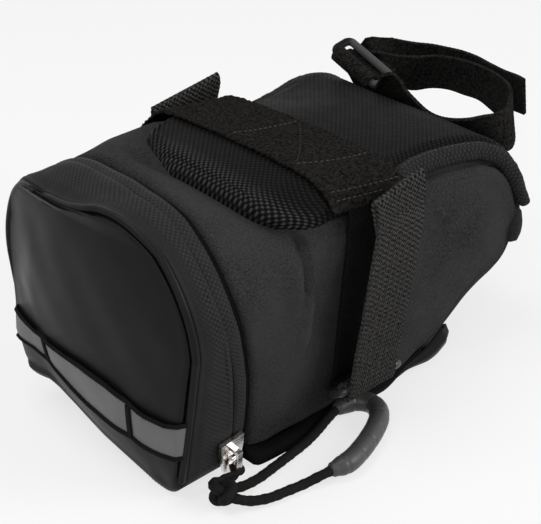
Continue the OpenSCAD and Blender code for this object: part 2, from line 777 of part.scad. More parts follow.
// the cord's route on the floor, from the knot round the grip and back to the knot
cord_radius = cord_diameter / 2;
grip_radius = grip_diameter / 2;
lay = cord_radius + 0.3;
grip_lay = grip_radius + 0.2;
knot = [11, -49, 4.4];
route = [[11, -47.2, 4.2], [16, -47.2, 3], [23, -46.5, lay], [31, -46, lay], [39, -46, lay],
  [47, -45.5, lay], [54, -44.5, 2.2], [60, -43.4, 3.2], [64.5, -43, grip_lay],
  [69, -43.4, grip_lay], [73, -45.4, grip_lay], [75.4, -48.8, grip_lay], [75, -52.6, grip_lay],
  [72.4, -56, grip_lay], [68, -59, grip_lay], [62, -62, grip_lay], [55.5, -64.4, grip_lay],
  [48.5, -65.4, grip_lay], [42, -64, grip_lay], [37, -62.4, 3], [31, -60.6, lay],
  [25, -59, lay], [19.5, -56.6, lay], [15, -53.4, 2.6], [11.4, -50.9, 4.2]];
grip_first = 8;
grip_last = 18;
eye = [14.5, -46, 3.2];
function shifted(p) = p + [frame_shift, 0, 0];

// a round sweep through points: one ring of points for each place
function ring_frame(p, i) =
  let (last = len(p) - 1, t = unit(p[min(i + 1, last)] - p[max(i - 1, 0)]),
    s = unit(cross([0, 0, 1], t)), u = cross(t, s)) [s, u];
function sweep_points(p, r, n) = [for (i = [0 : len(p) - 1]) let (f = ring_frame(p, i))
  for (k = [0 : n - 1]) p[i] + r * (cos(360 * k / n) * f[0] + sin(360 * k / n) * f[1])];
function wall_faces(rows, n, base, out) = [for (i = [0 : rows - 2]) for (k = [0 : n - 1])
  let (a = base + i * n + k, b = base + i * n + (k + 1) % n)
  each out ? [[a, a + n, b + n], [a, b + n, b]] : [[b + n, a + n, a], [b, b + n, a]]];

module sweep(p, r, n) {
  rows = len(p);
  faces = concat(wall_faces(rows, n, 0, true), [[for (k = [0 : n - 1]) k]],
    [[for (k = [n - 1 : -1 : 0]) (rows - 1) * n + k]]);
  polyhedron(points = sweep_points(p, r, n), faces = faces, convexity = 8);
}

module tube(p, r_out, r_in, n) {
  rows = len(p);
  count = rows * n;
  ends = [for (k = [0 : n - 1]) let (m = (k + 1) % n, e = (rows - 1) * n)
    each [[k, m, m + count], [k, m + count, k + count],
      [e + m, e + k, e + k + count], [e + m, e + k + count, e + m + count]]];
  polyhedron(points = concat(sweep_points(p, r_out, n), sweep_points(p, r_in, n)),
    faces = concat(wall_faces(rows, n, 0, true), wall_faces(rows, n, count, false), ends),
    convexity = 8);
}

cord_sides = 8;
knot_turn = 2.6;

module pull_cord() {
  pull_end = zip_foot + slider_rest * zip_way - [frame_shift, 0, 0]
    + (pull_y - 0.6) * [0, 1, 0] + (pull_z - pull_length + 0.75 * pull_wire) * zip_way;
  color([0.16, 0.15, 0.14])
    union() {
      sweep([for (p = route) shifted(p)], cord_radius, cord_sides);
      sweep([for (p = [knot, eye, pull_end]) shifted(p)], cord_radius * 0.9, cord_sides);
      for (turn = [-1.1, 1.3])
        translate(shifted(knot + [turn, 0, 0.1 * turn]))
          rotate([0, 90, -20])
            rotate_extrude($fn = 12)
              translate([knot_turn, 0])
                circle(r = cord_radius, $fn = 8);
    }
}

grip_bore = cord_radius + 0.1;

module cord_grip() {
  color([0.2, 0.2, 0.2])
    tube([for (k = [grip_first : grip_last]) shifted(route[k])], grip_radius, grip_bore, 16);
}

rear_panel();
rear_foam();
rear_lining();
lid_gusset();
lid_zip_chain();
reflective_band();
band_upper_edging();
band_lower_edging();
band_bar_tacks();
body_wrap();
base_panel();
front_panel();
nose_binding();
base_patch();
body_zip_tape();
body_zip_chain();
seam_binding();
lid_hinge_strip();
top_pad_skin();
top_pad_foam();
pad_piping();
top_pile_band();
body_foam();
base_board();
body_lining();
right_side_strap();
left_side_strap();
right_ring();
left_ring();
right_strap_tail();
left_strap_tail();
post_strap();
post_tab();
post_ring();
post_strap_tail();
zip_slider();
pull_loop();
pull_cord();
cord_grip();
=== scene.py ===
"""Saddle bag: padded rear lid, woven body, embossed top, straps, rings and a cord pull."""
import math

import bmesh
import bpy
import numpy as np
from mathutils import Matrix, Vector


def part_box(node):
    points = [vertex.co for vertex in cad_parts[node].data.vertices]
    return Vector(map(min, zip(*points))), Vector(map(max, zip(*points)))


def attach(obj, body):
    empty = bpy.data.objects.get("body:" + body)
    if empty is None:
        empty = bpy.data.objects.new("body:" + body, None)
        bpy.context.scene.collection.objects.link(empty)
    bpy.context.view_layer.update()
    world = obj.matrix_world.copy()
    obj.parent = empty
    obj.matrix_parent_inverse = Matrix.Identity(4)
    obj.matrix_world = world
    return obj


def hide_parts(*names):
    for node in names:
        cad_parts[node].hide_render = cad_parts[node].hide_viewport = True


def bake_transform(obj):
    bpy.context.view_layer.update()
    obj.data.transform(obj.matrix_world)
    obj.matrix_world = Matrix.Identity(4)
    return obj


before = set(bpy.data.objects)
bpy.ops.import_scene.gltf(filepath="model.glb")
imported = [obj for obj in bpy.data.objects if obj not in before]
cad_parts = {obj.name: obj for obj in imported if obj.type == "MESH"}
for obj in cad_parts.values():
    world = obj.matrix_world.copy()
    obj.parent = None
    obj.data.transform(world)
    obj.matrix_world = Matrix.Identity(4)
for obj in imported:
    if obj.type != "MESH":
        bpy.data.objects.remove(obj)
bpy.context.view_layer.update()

MM = 0.001
scene = bpy.context.scene
scene.view_settings.view_transform = "Standard"
rng = np.random.default_rng(11)

# Camera, at the photograph's angle

CAMERA_PLACE = (-0.26887, -0.2739, 0.2485)
CAMERA_RIGHT = (0.7305, -0.6829, 0.0)
CAMERA_BACK = (-0.5952, -0.6369, 0.4901)
camera_data = bpy.data.cameras.new("camera")
camera_data.lens = 84.92
camera_data.sensor_width = 36
camera_data.sensor_fit = "HORIZONTAL"
camera = bpy.data.objects.new("camera", camera_data)
right = Vector(CAMERA_RIGHT).normalized()
back = Vector(CAMERA_BACK).normalized()
camera.matrix_world = (Matrix.Translation(CAMERA_PLACE)
                       @ Matrix((right, back.cross(right), back)).transposed().to_4x4())
scene.collection.objects.link(camera)
scene.camera = camera

# The bag's sewn form, in millimetres, with the same runs as the solids

LENGTH, HEIGHT, WIDTH, FOOT_WIDTH = 150.0, 90.5, 93.0, 78.0
LID_EDGE, SEAM, ALLOWANCE, PAD_START, NOSE = 19.0, 25.5, 29.5, 33.0, 150.0
STRAP_START, STRAP_END, PILE_START, PILE_END = 61.0, 81.0, 55.0, 87.0
BASE_END = 106.5
FOOT_FLAT, SIDE_LOW, SIDE_HIGH, PAD_SIDE, TOP_EDGE, TOP, LOOP = 2, 6, 11, 13, 18, 21, 42
CROWN = 1.0
MID_SIDE, MID_TOP, TRIALS = 8.0, 20.0, 801
FLOOR_GAP = 0.1
BACKWARD, FORWARD = np.array([-1.0, 0, 0]), np.array([1.0, 0, 0])
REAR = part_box("rear_panel")[1].x / MM
STRAP_X = REAR + (STRAP_START + STRAP_END) / 2

TOP_RUN = [(0, .985), (.13, .995), (.17, 1), (.3, .97), (.37, .93), (.58, .878), (.71, .866),
           (.77, .858), (.84, .845), (.9, .815), (.94, .77), (.97, .705), (.99, .62), (1, .555)]
BASE_RUN = [(0, 0), (.5, 0), (.6, .004), (.71, .056), (.77, .112), (.84, .182), (.9, .235),
            (.94, .262), (.97, .29), (.99, .33), (1, .375)]
SHOULDER_RUN = [(0, .4), (.17, .39), (.3, .26), (.37, .165), (.58, .125), (.84, .115), (.94, .105),
                (.97, .095), (.99, .07), (1, .035)]
CORNER_RUN = [(0, .08), (.14, .08), (.24, .04), (.7, .045), (.84, .075), (.94, .065), (.99, .05), (1, .035)]
WIDTH_RUN = [(0, 1), (.17, 1), (.3, .99), (.4, .98), (.84, .98), (.94, .975), (.99, .965), (1, .95)]
FOOT_RUN = [(0, 1), (.17, 1), (.4, 1.01), (.58, 1.06), (.71, 1.075), (.84, 1.09), (.94, 1.1), (1, 1.08)]


def smooth_run(table):
    """A curve through the table's points that never overshoots them."""
    x = np.array([row[0] for row in table], float)
    y = np.array([row[1] for row in table], float)
    step = np.diff(x)
    slope = np.diff(y) / step
    tangent = np.concatenate([[slope[0]], np.zeros(len(x) - 2), [slope[-1]]])
    for k in range(1, len(x) - 1):
        if slope[k - 1] * slope[k] > 0:
            a, b = 2 * step[k] + step[k - 1], step[k] + 2 * step[k - 1]
            tangent[k] = (a + b) / (a / slope[k - 1] + b / slope[k])

    def value(f):
        f = np.clip(f, x[0], x[-1])
        k = np.clip(np.searchsorted(x, f, side="right") - 1, 0, len(step) - 1)
        t = (f - x[k]) / step[k]
        return (y[k] * (1 + 2 * t) * (1 - t) ** 2 + tangent[k] * step[k] * t * (1 - t) ** 2
                + y[k + 1] * t * t * (3 - 2 * t) + tangent[k + 1] * step[k] * t * t * (t - 1))
    return value


top_at, base_at, shoulder_at = smooth_run(TOP_RUN), smooth_run(BASE_RUN), smooth_run(SHOULDER_RUN)
corner_at, width_at, foot_at = smooth_run(CORNER_RUN), smooth_run(WIDTH_RUN), smooth_run(FOOT_RUN)


def ease(u):
    """From 0 to 1, level at both ends."""
    v = np.clip(u, 0, 1)
    return v * v * (3 - 2 * v)


def section(x, j):
    """Sideways place, height and roof height on the cross section at x, j steps round it."""
    f = np.clip(x / LENGTH, 0, 1)
    j = np.mod(j, LOOP)
    k = np.where(j <= TOP, j, LOOP - j)
    low, roof = HEIGHT * base_at(f), HEIGHT * top_at(f)
    big, small = WIDTH * shoulder_at(f), WIDTH * corner_at(f)
    half, foot = WIDTH * width_at(f) / 2, FOOT_WIDTH * foot_at(f) / 2
    corner = np.radians(90 * (k - FOOT_FLAT) / (SIDE_LOW - FOOT_FLAT))
    bend = np.radians(90 * (k - SIDE_HIGH) / (TOP_EDGE - SIDE_HIGH))
    rise = (k - SIDE_LOW) / (SIDE_HIGH - SIDE_LOW)
    flat = 1 - (k - TOP_EDGE) / (TOP - TOP_EDGE)
    where = [k < FOOT_FLAT, k < SIDE_LOW, k < SIDE_HIGH, k < TOP_EDGE]
    y = np.select(where, [(foot - small) * k / FOOT_FLAT, foot - small + small * np.sin(corner),
                          foot + (half - foot) * rise, half - big + big * np.cos(bend)],
                  (half - big) * flat)
    z = np.select(where, [low, low + small - small * np.cos(corner),
                          low + small + (roof - big - low - small) * rise,
                          roof - big + big * np.sin(bend)], roof + CROWN * (1 - flat * flat))
    return np.where(j <= TOP, -y, y), z, roof


# The rear seam wanders from its flat pattern: steps round it, then shifts forward and up
SEAM_WANDER = np.array([
    (0, 0, 0), (5, 1.5, 0), (7, 2.1, 0), (9, 2.5, 0), (11, 2.6, 0), (13, 2.1, 0), (14, 2, 0),
    (15, 2, 0), (16, .8, -.1), (17, 0, -.4), (18, -.8, -1.4), (19, -1.6, -2.4), (20, -2.2, -3.7),
    (21, -2.5, -4.5), (22, -2.6, -5.2), (23, -2.6, -5.4), (24, -2.5, -5.2), (25, -2.4, -5),
    (26, -1.6, -2.2), (27, 0, .8), (28, .4, 1.2), (29, .8, .6), (31, 1.2, 0), (34, 1, 0), (36, .8, 0),
    (37, 1, 0), (38, 0, 0), (42, 0, 0)])
# By the zip the sides bow forward and back: steps from the base, then shifts forward
BOW = np.array([(5, 6, 7, 8, 9, 10, 11, 12, 13, 14, 15, 16, 18),
                (0, .4, 1.9, 2.4, 2.1, .8, -1, -1.9, -2.1, -1.7, -1.1, 0, .4)])


def wander(j):
    """Shifts of the rear seam, forward and up."""
    j = np.mod(j, LOOP)
    return tuple(np.interp(j, SEAM_WANDER[:, 0], SEAM_WANDER[:, k]) for k in (1, 2))


SAG_ALONG = smooth_run([(0, 0), (10, 1.6), (19, 2.4), (31, 3.5), (42, 2.6), (58, 0)])
SAG_ROUND = smooth_run([(11, 0), (14, .5), (18, 1), (22, 1), (25, .55), (28.5, 0)])


def sag(d, j):
    """How far the top sinks between the rear seam and the pile band."""
    return SAG_ALONG(d) * SAG_ROUND(np.mod(j, LOOP))


def from_base(j):
    """Steps from the middle of the base, on either side."""
    return np.minimum(j, LOOP - j)


def tuck_up(d, y, z):
    """Rise of the rear left corner, which doesn't reach the floor."""
    rise = np.interp(y, [-27, -4, 10, 25, 39], [0, 4.2, 8.4, 12.2, 10.5])
    return rise * (1 - ease(z / 42)) * (1 - ease((d - 4) / 46))


def bag_point(d, j):
    """A point on the bag's outer face, d from the rear seam along the floor."""
    lean = np.interp(d, [0, 16.5, ALLOWANCE, PAD_START], [0, -.09, -.09, 0])
    sweep = np.interp(d, [ALLOWANCE, PAD_START, 36.2, PILE_START], [0, 13, 13, 0])
    y, z, roof = section(d + sweep, j)
    j = np.mod(j, LOOP)
    forward, up = wander(j)
    fade = 1 - ease(d / LID_EDGE)
    bow = np.interp(from_base(j), BOW[0], BOW[1]) * ease((d - 8) / 14) * (1 - ease((d - 28) / 16))
    x = d + lean * z + sweep * ease((roof - z) / 14) + REAR
    return np.stack([x + forward * fade + bow, y, z + up * fade - sag(d, j) + tuck_up(d, y, z)], -1)


def unit(v):
    return v / np.maximum(np.linalg.norm(v, axis=-1, keepdims=True), 1e-9)


def bag_normal(d, j):
    e = 0.3
    return unit(np.cross(bag_point(d + e, j) - bag_point(d - e, j),
                         bag_point(d, j + e) - bag_point(d, j - e)))


def bag_skin(d, j, lift=0.0):
    """Points at a lift over the bag's face on a grid of d and j, and their normals."""
    dd, jj = np.meshgrid(d, j, indexing="ij")
    n = bag_normal(dd, jj)
    return bag_point(dd, jj) + n * np.broadcast_to(lift, dd.shape)[..., None], n


def gaps(line):
    """Distances between a line's points."""
    return np.linalg.norm(np.diff(line, axis=0), axis=1)


def run_up(steps):
    """Lengths from the start of a line, from its steps."""
    return np.concatenate([[0], np.cumsum(steps)])


def spaced(places, lengths, step):
    """Places about a step apart, from trial places and the lengths up to them."""
    count = max(2, round(lengths[-1] / step)) + 1
    return np.interp(np.linspace(0, lengths[-1], count), lengths, places)


def even_j(first, last, step, d=70.0):
    """Places round the section, about a step apart."""
    j = np.linspace(first, last, TRIALS)
    return spaced(j, run_up(gaps(bag_point(np.full_like(j, d), j))), step)


def even_d(first, last, step):
    """Places along the bag, about a step apart both on its top and on its sides."""
    d = np.linspace(first, last, TRIALS)
    steps = np.maximum(*[gaps(bag_point(d, np.full_like(d, k))) for k in (MID_SIDE, MID_TOP)])
    return spaced(d, run_up(steps), step)


def flat_map(points, middle=0):
    """Cloth coordinates of a grid: lengths along its rows and columns."""
    along = np.zeros(points.shape[:2])
    along[1:] = np.cumsum(np.linalg.norm(np.diff(points, axis=0), axis=2), axis=0)
    across = np.zeros(points.shape[:2])
    across[:, 1:] = np.cumsum(np.linalg.norm(np.diff(points, axis=1), axis=2), axis=1)
    return np.stack([along, across - across[:, middle:middle + 1]], -1)


def cloth_grid(d, j):
    """Cloth coordinates on a grid of d and j, and the grid's own d and j."""
    dd, jj = np.meshgrid(d, j, indexing="ij")
    return flat_map(bag_skin(d, j)[0], len(j) // 2), dd, jj


def above_floor(points):
    """Keeps a sheet's points a little over the floor."""
    points[..., 2] = np.maximum(points[..., 2], FLOOR_GAP)
    return points


def hold_edges(held):
    """Marks a sheet's four edges as held too."""
    held[0] = held[-1] = held[:, 0] = held[:, -1] = True
    return held


def dip(x, place, width):
    """A smooth bump of height 1 at a place."""
    return np.exp(-((x - place) / width) ** 2)


def lattice(u, v, pitch_u, pitch_v, size):
    """Rounded bumps in staggered rows, from 0 to 1."""
    height = np.zeros_like(u)
    for offset in (0.0, 0.5):
        a = (np.mod(u / pitch_u + offset, 1) - 0.5) * pitch_u
        b = (np.mod(v / pitch_v + offset, 1) - 0.5) * pitch_v
        height = np.maximum(height, np.clip(1 - (a * a + b * b) / size ** 2, 0, 1))
    return np.sqrt(height)


def waves(u, v, scale, seed):
    """Soft unevenness of cloth, about -1 to 1."""
    phase = np.random.default_rng(seed).uniform(0, 2 * np.pi, 6)
    u, v = u / scale, v / scale
    return (np.sin(u + phase[0]) * np.sin(1.3 * v + phase[1])
            + 0.6 * np.sin(1.9 * u + 0.7 * v + phase[2]) * np.sin(0.6 * u - 1.7 * v + phase[3])
            + 0.4 * np.sin(3.1 * u + phase[4]) * np.sin(2.7 * v + phase[5])) / 1.6


# Finishes


class Finish:
    """A procedural material: colour, roughness and relief from its own nodes."""

    def __init__(self, name, dark, light, rough, patch=400.0, **sockets):
        self.material = bpy.data.materials.new(name)
        self.material.use_nodes = True
        self.tree = self.material.node_tree
        self.shader = self.tree.nodes["Principled BSDF"]
        for key, value in sockets.items():
            self.shader.inputs[key.replace("_", " ")].default_value = value
        coords = self.tree.nodes.new("ShaderNodeTexCoord")
        self.uv, self.place = coords.outputs["UV"], coords.outputs["Object"]
        self.normal = None
        tone = self.noise(self.place, patch, 4)
        self.tone = self.add("ShaderNodeMix", data_type="RGBA")
        self.tone.inputs["A"].default_value = (*dark, 1)
        self.tone.inputs["B"].default_value = (*light, 1)
        self.wire(tone, self.tone.inputs["Factor"])
        self.colour = self.tone.outputs["Result"]
        self.wire(self.colour, self.shader.inputs["Base Color"])
        self.wire(self.ranged(self.noise(self.place, patch * 0.6, 3), *rough),
                  self.shader.inputs["Roughness"])

    def add(self, kind, **settings):
        node = self.tree.nodes.new(kind)
        for key, value in settings.items():
            setattr(node, key, value)
        return node

    def wire(self, value, socket):
        if isinstance(value, bpy.types.NodeSocket):
            self.tree.links.new(value, socket)
        else:
            socket.default_value = value

    def math(self, operation, *values):
        node = self.add("ShaderNodeMath", operation=operation)
        for value, socket in zip(values, node.inputs):
            self.wire(value, socket)
        return node.outputs[0]

    def noise(self, vector, scale, detail=2.0):
        node = self.add("ShaderNodeTexNoise")
        self.wire(vector, node.inputs["Vector"])
        node.inputs["Scale"].default_value = scale
        node.inputs["Detail"].default_value = detail
        return node.outputs["Fac"]

    def cells(self, vector, scale, randomness=1.0):
        node = self.add("ShaderNodeTexVoronoi")
        self.wire(vector, node.inputs["Vector"])
        node.inputs["Scale"].default_value = scale
        node.inputs["Randomness"].default_value = randomness
        return node.outputs["Distance"]

    def ranged(self, value, low, high, spread=0.25):
        node = self.add("ShaderNodeMapRange")
        self.wire(value, node.inputs["Value"])
        node.inputs["From Min"].default_value = 0.5 - spread
        node.inputs["From Max"].default_value = 0.5 + spread
        node.inputs["To Min"].default_value = low
        node.inputs["To Max"].default_value = high
        return node.outputs["Result"]

    def weave(self, pitch_u, pitch_v, phase=0.0):
        """Plain weave on the cloth coordinates, with pitches in millimetres."""
        parts = self.add("ShaderNodeSeparateXYZ")
        self.wire(self.uv, parts.inputs[0])
        u, v = (self.math("SINE", self.math("MULTIPLY_ADD", place, 2 * math.pi / (pitch * MM), phase))
                for place, pitch in zip(parts.outputs, (pitch_u, pitch_v)))
        return self.math("MULTIPLY", u, v)

    def dots(self, pitch_u, pitch_v, first=0.0, last=0.0):
        """Staggered dots from 0 to 1, fading in along the cloth between two places in millimetres."""
        spots = self.math("MULTIPLY_ADD", self.weave(pitch_u, pitch_v, math.pi / 2), 0.5, 0.3)
        if last == first:
            return spots
        return self.math("MULTIPLY", spots, self.along(self.uv, 0, first, last))

    def along(self, vector, axis, first, last):
        """From 0 to 1 between two places on an axis of the coordinates, in millimetres."""
        parts = self.add("ShaderNodeSeparateXYZ")
        self.wire(vector, parts.inputs[0])
        fade = self.add("ShaderNodeMapRange")
        self.wire(parts.outputs[axis], fade.inputs["Value"])
        fade.inputs["From Min"].default_value = first * MM
        fade.inputs["From Max"].default_value = last * MM
        return fade.outputs["Result"]

    def relief(self, height, depth):
        """Adds a bump of the given depth in millimetres."""
        node = self.add("ShaderNodeBump")
        node.inputs["Distance"].default_value = depth * MM
        self.wire(height, node.inputs["Height"])
        if self.normal is not None:
            self.wire(self.normal, node.inputs["Normal"])
        self.normal = node.outputs["Normal"]
        self.wire(self.normal, self.shader.inputs["Normal"])
        return self

    def fleck_and_highlight(self, height, colour, share, spread=0.25):
        """Lightens the colour where a pattern stands high: the cloth's own flecks, or a painted highlight.
        """
        mix = self.add("ShaderNodeMix", data_type="RGBA")
        self.wire(self.colour, mix.inputs["A"])
        mix.inputs["B"].default_value = (*colour, 1)
        self.wire(self.ranged(height, 0.0, share, spread), mix.inputs["Factor"])
        self.colour = mix.outputs["Result"]
        self.wire(self.colour, self.shader.inputs["Base Color"])
        return self


def grey(level, warm=0.0):
    """Linear colour of a grey given as a screen level from 0 to 255, warmed a little."""
    v = level / 255
    v = v / 12.92 if v <= 0.04045 else ((v + 0.055) / 1.055) ** 2.4
    return (v * (1 + warm), v, v * (1 - warm))


coated = Finish("coated fabric", grey(19), grey(24), (0.3, 0.42), 90, Specular_IOR_Level=0.09)
coated.relief(coated.noise(coated.place, 1500, 3), 0.03)
coated.relief(coated.weave(0.5, 0.5), 0.012)
nylon = Finish("woven nylon", grey(17), grey(26), (0.7, 0.85), 120, Specular_IOR_Level=0.03)
nylon.relief(nylon.weave(0.8, 0.8), 0.08).relief(nylon.noise(nylon.place, 1500, 3), 0.12)
nylon.fleck_and_highlight(nylon.noise(nylon.place, 2000, 3), grey(80), 0.48, 0.16)
nylon.fleck_and_highlight(nylon.noise(nylon.place, 34, 2), grey(60), 0.6, 0.18)
# Dark cloth of the base panel, also put on the seam binding as painted shade in the seam's groove.
base_cloth_and_groove_shade = Finish("base cloth and groove shade", grey(9), grey(14), (0.7, 0.85), 300, Specular_IOR_Level=0.05)
base_cloth_and_groove_shade.relief(base_cloth_and_groove_shade.weave(0.62, 0.62), 0.05)
tape = Finish("laminated tape", grey(31), grey(38), (0.5, 0.65), 200, Specular_IOR_Level=0.06)
tape.relief(tape.noise(tape.place, 1900, 3), 0.04)
tape.fleck_and_highlight(tape.dots(1.8, 1.7, 3.4, 6.0), grey(64), 0.42)
emboss = Finish("embossed skin", grey(13), grey(18), (0.4, 0.5), 240, Specular_IOR_Level=0.012)
emboss.relief(emboss.noise(emboss.place, 1500, 3), 0.07)
emboss.fleck_and_highlight(emboss.dots(2.1, 2.0), grey(48), 0.4)
# The paler dots fade in towards the pad's rear roll: a painted highlight where light catches the roll.
emboss.fleck_and_highlight(emboss.dots(2.1, 2.0, 17.0, 5.0), grey(86), 0.48)
webbing = Finish("strap webbing", grey(4, .03), grey(10, .04), (0.75, 0.9), 500,
                 Specular_IOR_Level=0.04)
webbing.relief(webbing.weave(1.7, 1.7), 0.3).relief(webbing.noise(webbing.place, 2200, 3), 0.12)
webbing.fleck_and_highlight(webbing.math("MULTIPLY_ADD", webbing.weave(1.7, 1.7), 0.32,
                           webbing.noise(webbing.place, 1300, 4)), grey(80, .03), 0.85, 0.3)
# A darker copy of the strap webbing for the side straps: the shade they lie in beside the tails is painted
# into its colour.
painted_shade_webbing = Finish("under strap webbing with painted shade", grey(16), grey(25), (0.8, 0.9), 500, Specular_IOR_Level=0.03)
painted_shade_webbing.relief(painted_shade_webbing.weave(2.0, 2.0), 0.15)
pile = Finish("loop pile", grey(7, .06), grey(14, .08), (0.9, 1.0), 900, Specular_IOR_Level=0.04)
pile.relief(pile.noise(pile.place, 1500, 5), 0.45).relief(pile.cells(pile.place, 900), 0.3)
pile.fleck_and_highlight(pile.noise(pile.place, 1100, 5), grey(43, .08), 0.75, 0.14)
hook = Finish("hook webbing", grey(10, .04), grey(19, .05), (0.85, 0.95), 900, Specular_IOR_Level=0.03)
hook.relief(hook.noise(hook.place, 1500, 4), 0.3).relief(hook.weave(1.6, 1.6), 0.12)
hook.fleck_and_highlight(hook.noise(hook.place, 900, 5), grey(46, .05), 0.7, 0.15)
reflective = Finish("reflective fabric", grey(94), grey(106), (0.4, 0.5), 120,
                    Specular_IOR_Level=0.2)
reflective.relief(reflective.cells(reflective.place, 1500), 0.06)
edging = Finish("ribbed edging", grey(14), grey(24), (0.7, 0.85), 500, Specular_IOR_Level=0.06)
edging.relief(edging.noise(edging.place, 3000, 3), 0.06)
binding = Finish("binding tape", grey(24), grey(34), (0.65, 0.8), 300, Specular_IOR_Level=0.05)
binding.relief(binding.weave(0.9, 0.9), 0.1)
binding.fleck_and_highlight(binding.dots(1.9, 2.0), grey(66), 0.5)
lining = Finish("lining cloth", grey(52), grey(60), (0.75, 0.9), 300, Specular_IOR_Level=0.06)
lining.relief(lining.weave(0.5, 0.5), 0.05)
thread = Finish("sewing thread", grey(28), grey(44), (0.6, 0.8), 1500, Specular_IOR_Level=0.1)
pale_thread = Finish("band thread", grey(50, .03), grey(70, .03), (0.6, 0.8), 1500,
                     Specular_IOR_Level=0.1)
teeth = Finish("zip teeth", grey(20), grey(28), (0.4, 0.55), 800, Specular_IOR_Level=0.2)
moulded = Finish("ring plastic", grey(44), grey(54), (0.3, 0.42), 300, Specular_IOR_Level=0.3)
moulded.relief(moulded.noise(moulded.place, 1800, 3), 0.02)
post_plastic = Finish("post ring plastic", grey(14), grey(19), (0.4, 0.5), 300, Specular_IOR_Level=0.06)
post_plastic.fleck_and_highlight(post_plastic.along(post_plastic.place, 1, 38.5, 37.0), grey(72), 1.0, 0.5)
nickel = Finish("nickel", grey(214, .03), grey(232, .03), (0.16, 0.3), 700, Metallic=1.0)
nickel.relief(nickel.noise(nickel.place, 1200, 4), 0.015)
braid = Finish("braided cord", grey(16, .03), grey(32, .03), (0.7, 0.85), 900, Specular_IOR_Level=0.08)
braid.relief(braid.noise(braid.place, 3600, 3), 0.08)
rubber = Finish("grip rubber", grey(60), grey(69), (0.34, 0.46), 350, Specular_IOR_Level=0.3)
rubber.relief(rubber.noise(rubber.place, 2100, 3), 0.03)


# Makers of pieces

MERGE, CLOTH_FRAMES = 0.004, 20


def grid_object(name, points, uv, outward, finish, wall=0.0, wall_side=-1.0, edge=0.0, close=False):
    """A sheet on a grid of points, with cloth coordinates, its face turned outward."""
    rows, cols = points.shape[:2]
    bm = bmesh.new()
    bmesh.ops.create_grid(bm, x_segments=rows - 1, y_segments=cols - 1, size=0.5)
    mesh = bpy.data.meshes.new(name)
    bm.to_mesh(mesh)
    bm.free()
    flat = np.empty(len(mesh.vertices) * 3, np.float32)
    mesh.vertices.foreach_get("co", flat)
    i = np.rint((flat[0::3] + 0.5) * (rows - 1)).astype(int)
    k = np.rint((flat[1::3] + 0.5) * (cols - 1)).astype(int)
    mesh.vertices.foreach_set("co", (points[i, k] * MM).astype(np.float32).ravel())
    corner = np.empty(len(mesh.loops), np.int32)
    mesh.loops.foreach_get("vertex_index", corner)
    layer = mesh.uv_layers.get("UVMap") or mesh.uv_layers.new(name="UVMap")
    layer.data.foreach_set("uv", (uv[i[corner], k[corner]] * MM).astype(np.float32).ravel())
    facing = np.cross(np.gradient(points, axis=0), np.gradient(points, axis=1))
    turned = np.sum(facing * outward) < 0
    if turned or close:
        bm = bmesh.new()
        bm.from_mesh(mesh)
        if turned:
            bmesh.ops.reverse_faces(bm, faces=bm.faces[:])
        if close:
            bmesh.ops.remove_doubles(bm, verts=bm.verts[:], dist=MERGE * MM)
        bm.to_mesh(mesh)
        bm.free()
    mesh.shade_smooth()
    obj = bpy.data.objects.new(name, mesh)
    scene.collection.objects.link(obj)
    if finish is not None:
        mesh.materials.append(finish.material)
    if wall:
        solid = obj.modifiers.new("wall", "SOLIDIFY")
        solid.thickness = wall * MM
        solid.offset = wall_side
    if edge:
        soft = obj.modifiers.new("edge", "BEVEL")
        soft.width = edge * MM
        soft.segments = 2
        soft.limit_method = "ANGLE"
        soft.angle_limit = math.radians(55)
    return obj


def spline(points, count):
    """Even places on a smooth curve through the points, of any number of columns."""
    p = np.asarray(points, float)
    s = run_up(gaps(p[:, :3]))
    m = np.gradient(p, s, axis=0)
    t = np.linspace(0, s[-1], count)
    k = np.clip(np.searchsorted(s, t, side="right") - 1, 0, len(s) - 2)
    h = (s[k + 1] - s[k])[:, None]
    u = ((t - s[k]) / h[:, 0])[:, None]
    return (p[k] * (1 + 2 * u) * (1 - u) ** 2 + m[k] * h * u * (1 - u) ** 2
            + p[k + 1] * u * u * (3 - 2 * u) + m[k + 1] * h * u * u * (u - 1))


def tangents(line):
    """Unit directions along a line."""
    return unit(np.gradient(line, axis=0))


def tube(name, line, radius, finish, sides=16, relief=None, squeeze=1.0):
    """A round piece along a line, with rounded ends; relief shapes its skin."""
    t = tangents(line)
    s = unit(np.cross(np.array([0.0, 0.0, 1.0]), t))
    up = np.cross(t, s)
    angle = np.linspace(0, 2 * np.pi, sides + 1)
    along = run_up(gaps(line))
    reach = np.broadcast_to(radius, len(line)).astype(float)
    r = np.repeat(reach[:, None], sides + 1, 1)
    if relief is not None:
        r = r + relief(along[:, None], angle[None, :])
    r[:, -1] = r[:, 0]
    ring = (np.cos(angle)[None, :, None] * s[:, None] * squeeze
            + np.sin(angle)[None, :, None] * up[:, None])
    points = line[:, None] + r[..., None] * ring
    ends = []
    for end, way in ((0, -1), (-1, 1)):
        cap = [line[end] + way * t[end] * reach[end] * a + b * (points[end] - line[end])
               for a, b in ((0.3, 0.8), (0.42, 0.45), (0.46, 0.0))]
        ends.append(np.array(cap if way > 0 else cap[::-1]))
    points = np.concatenate([ends[0], points, ends[1]])
    length = np.concatenate([[along[0]] * 3, along, [along[-1]] * 3])
    uv = np.stack(np.broadcast_arrays(length[:, None], angle[None, :] * reach.mean()), -1)
    outward = points - points.mean(axis=1, keepdims=True)
    return grid_object(name, points, uv, outward, finish, close=True)


def ribbon(name, line, half, finish, wall, columns=9, edge=0.35, relief=None):
    """A flat strap along a line, with half-width vectors."""
    t = np.linspace(-1, 1, columns)
    points = line[:, None] + half[:, None] * t[None, :, None]
    face = unit(np.cross(tangents(line), half))
    if relief is not None:
        uv0 = flat_map(points, columns // 2)
        points = points + face[:, None] * relief(uv0[..., 0], uv0[..., 1])[..., None]
    outward = np.repeat(face[:, None], columns, 1)
    return grid_object(name, points, flat_map(points, columns // 2), outward, finish,
                       wall, 0.0, edge)


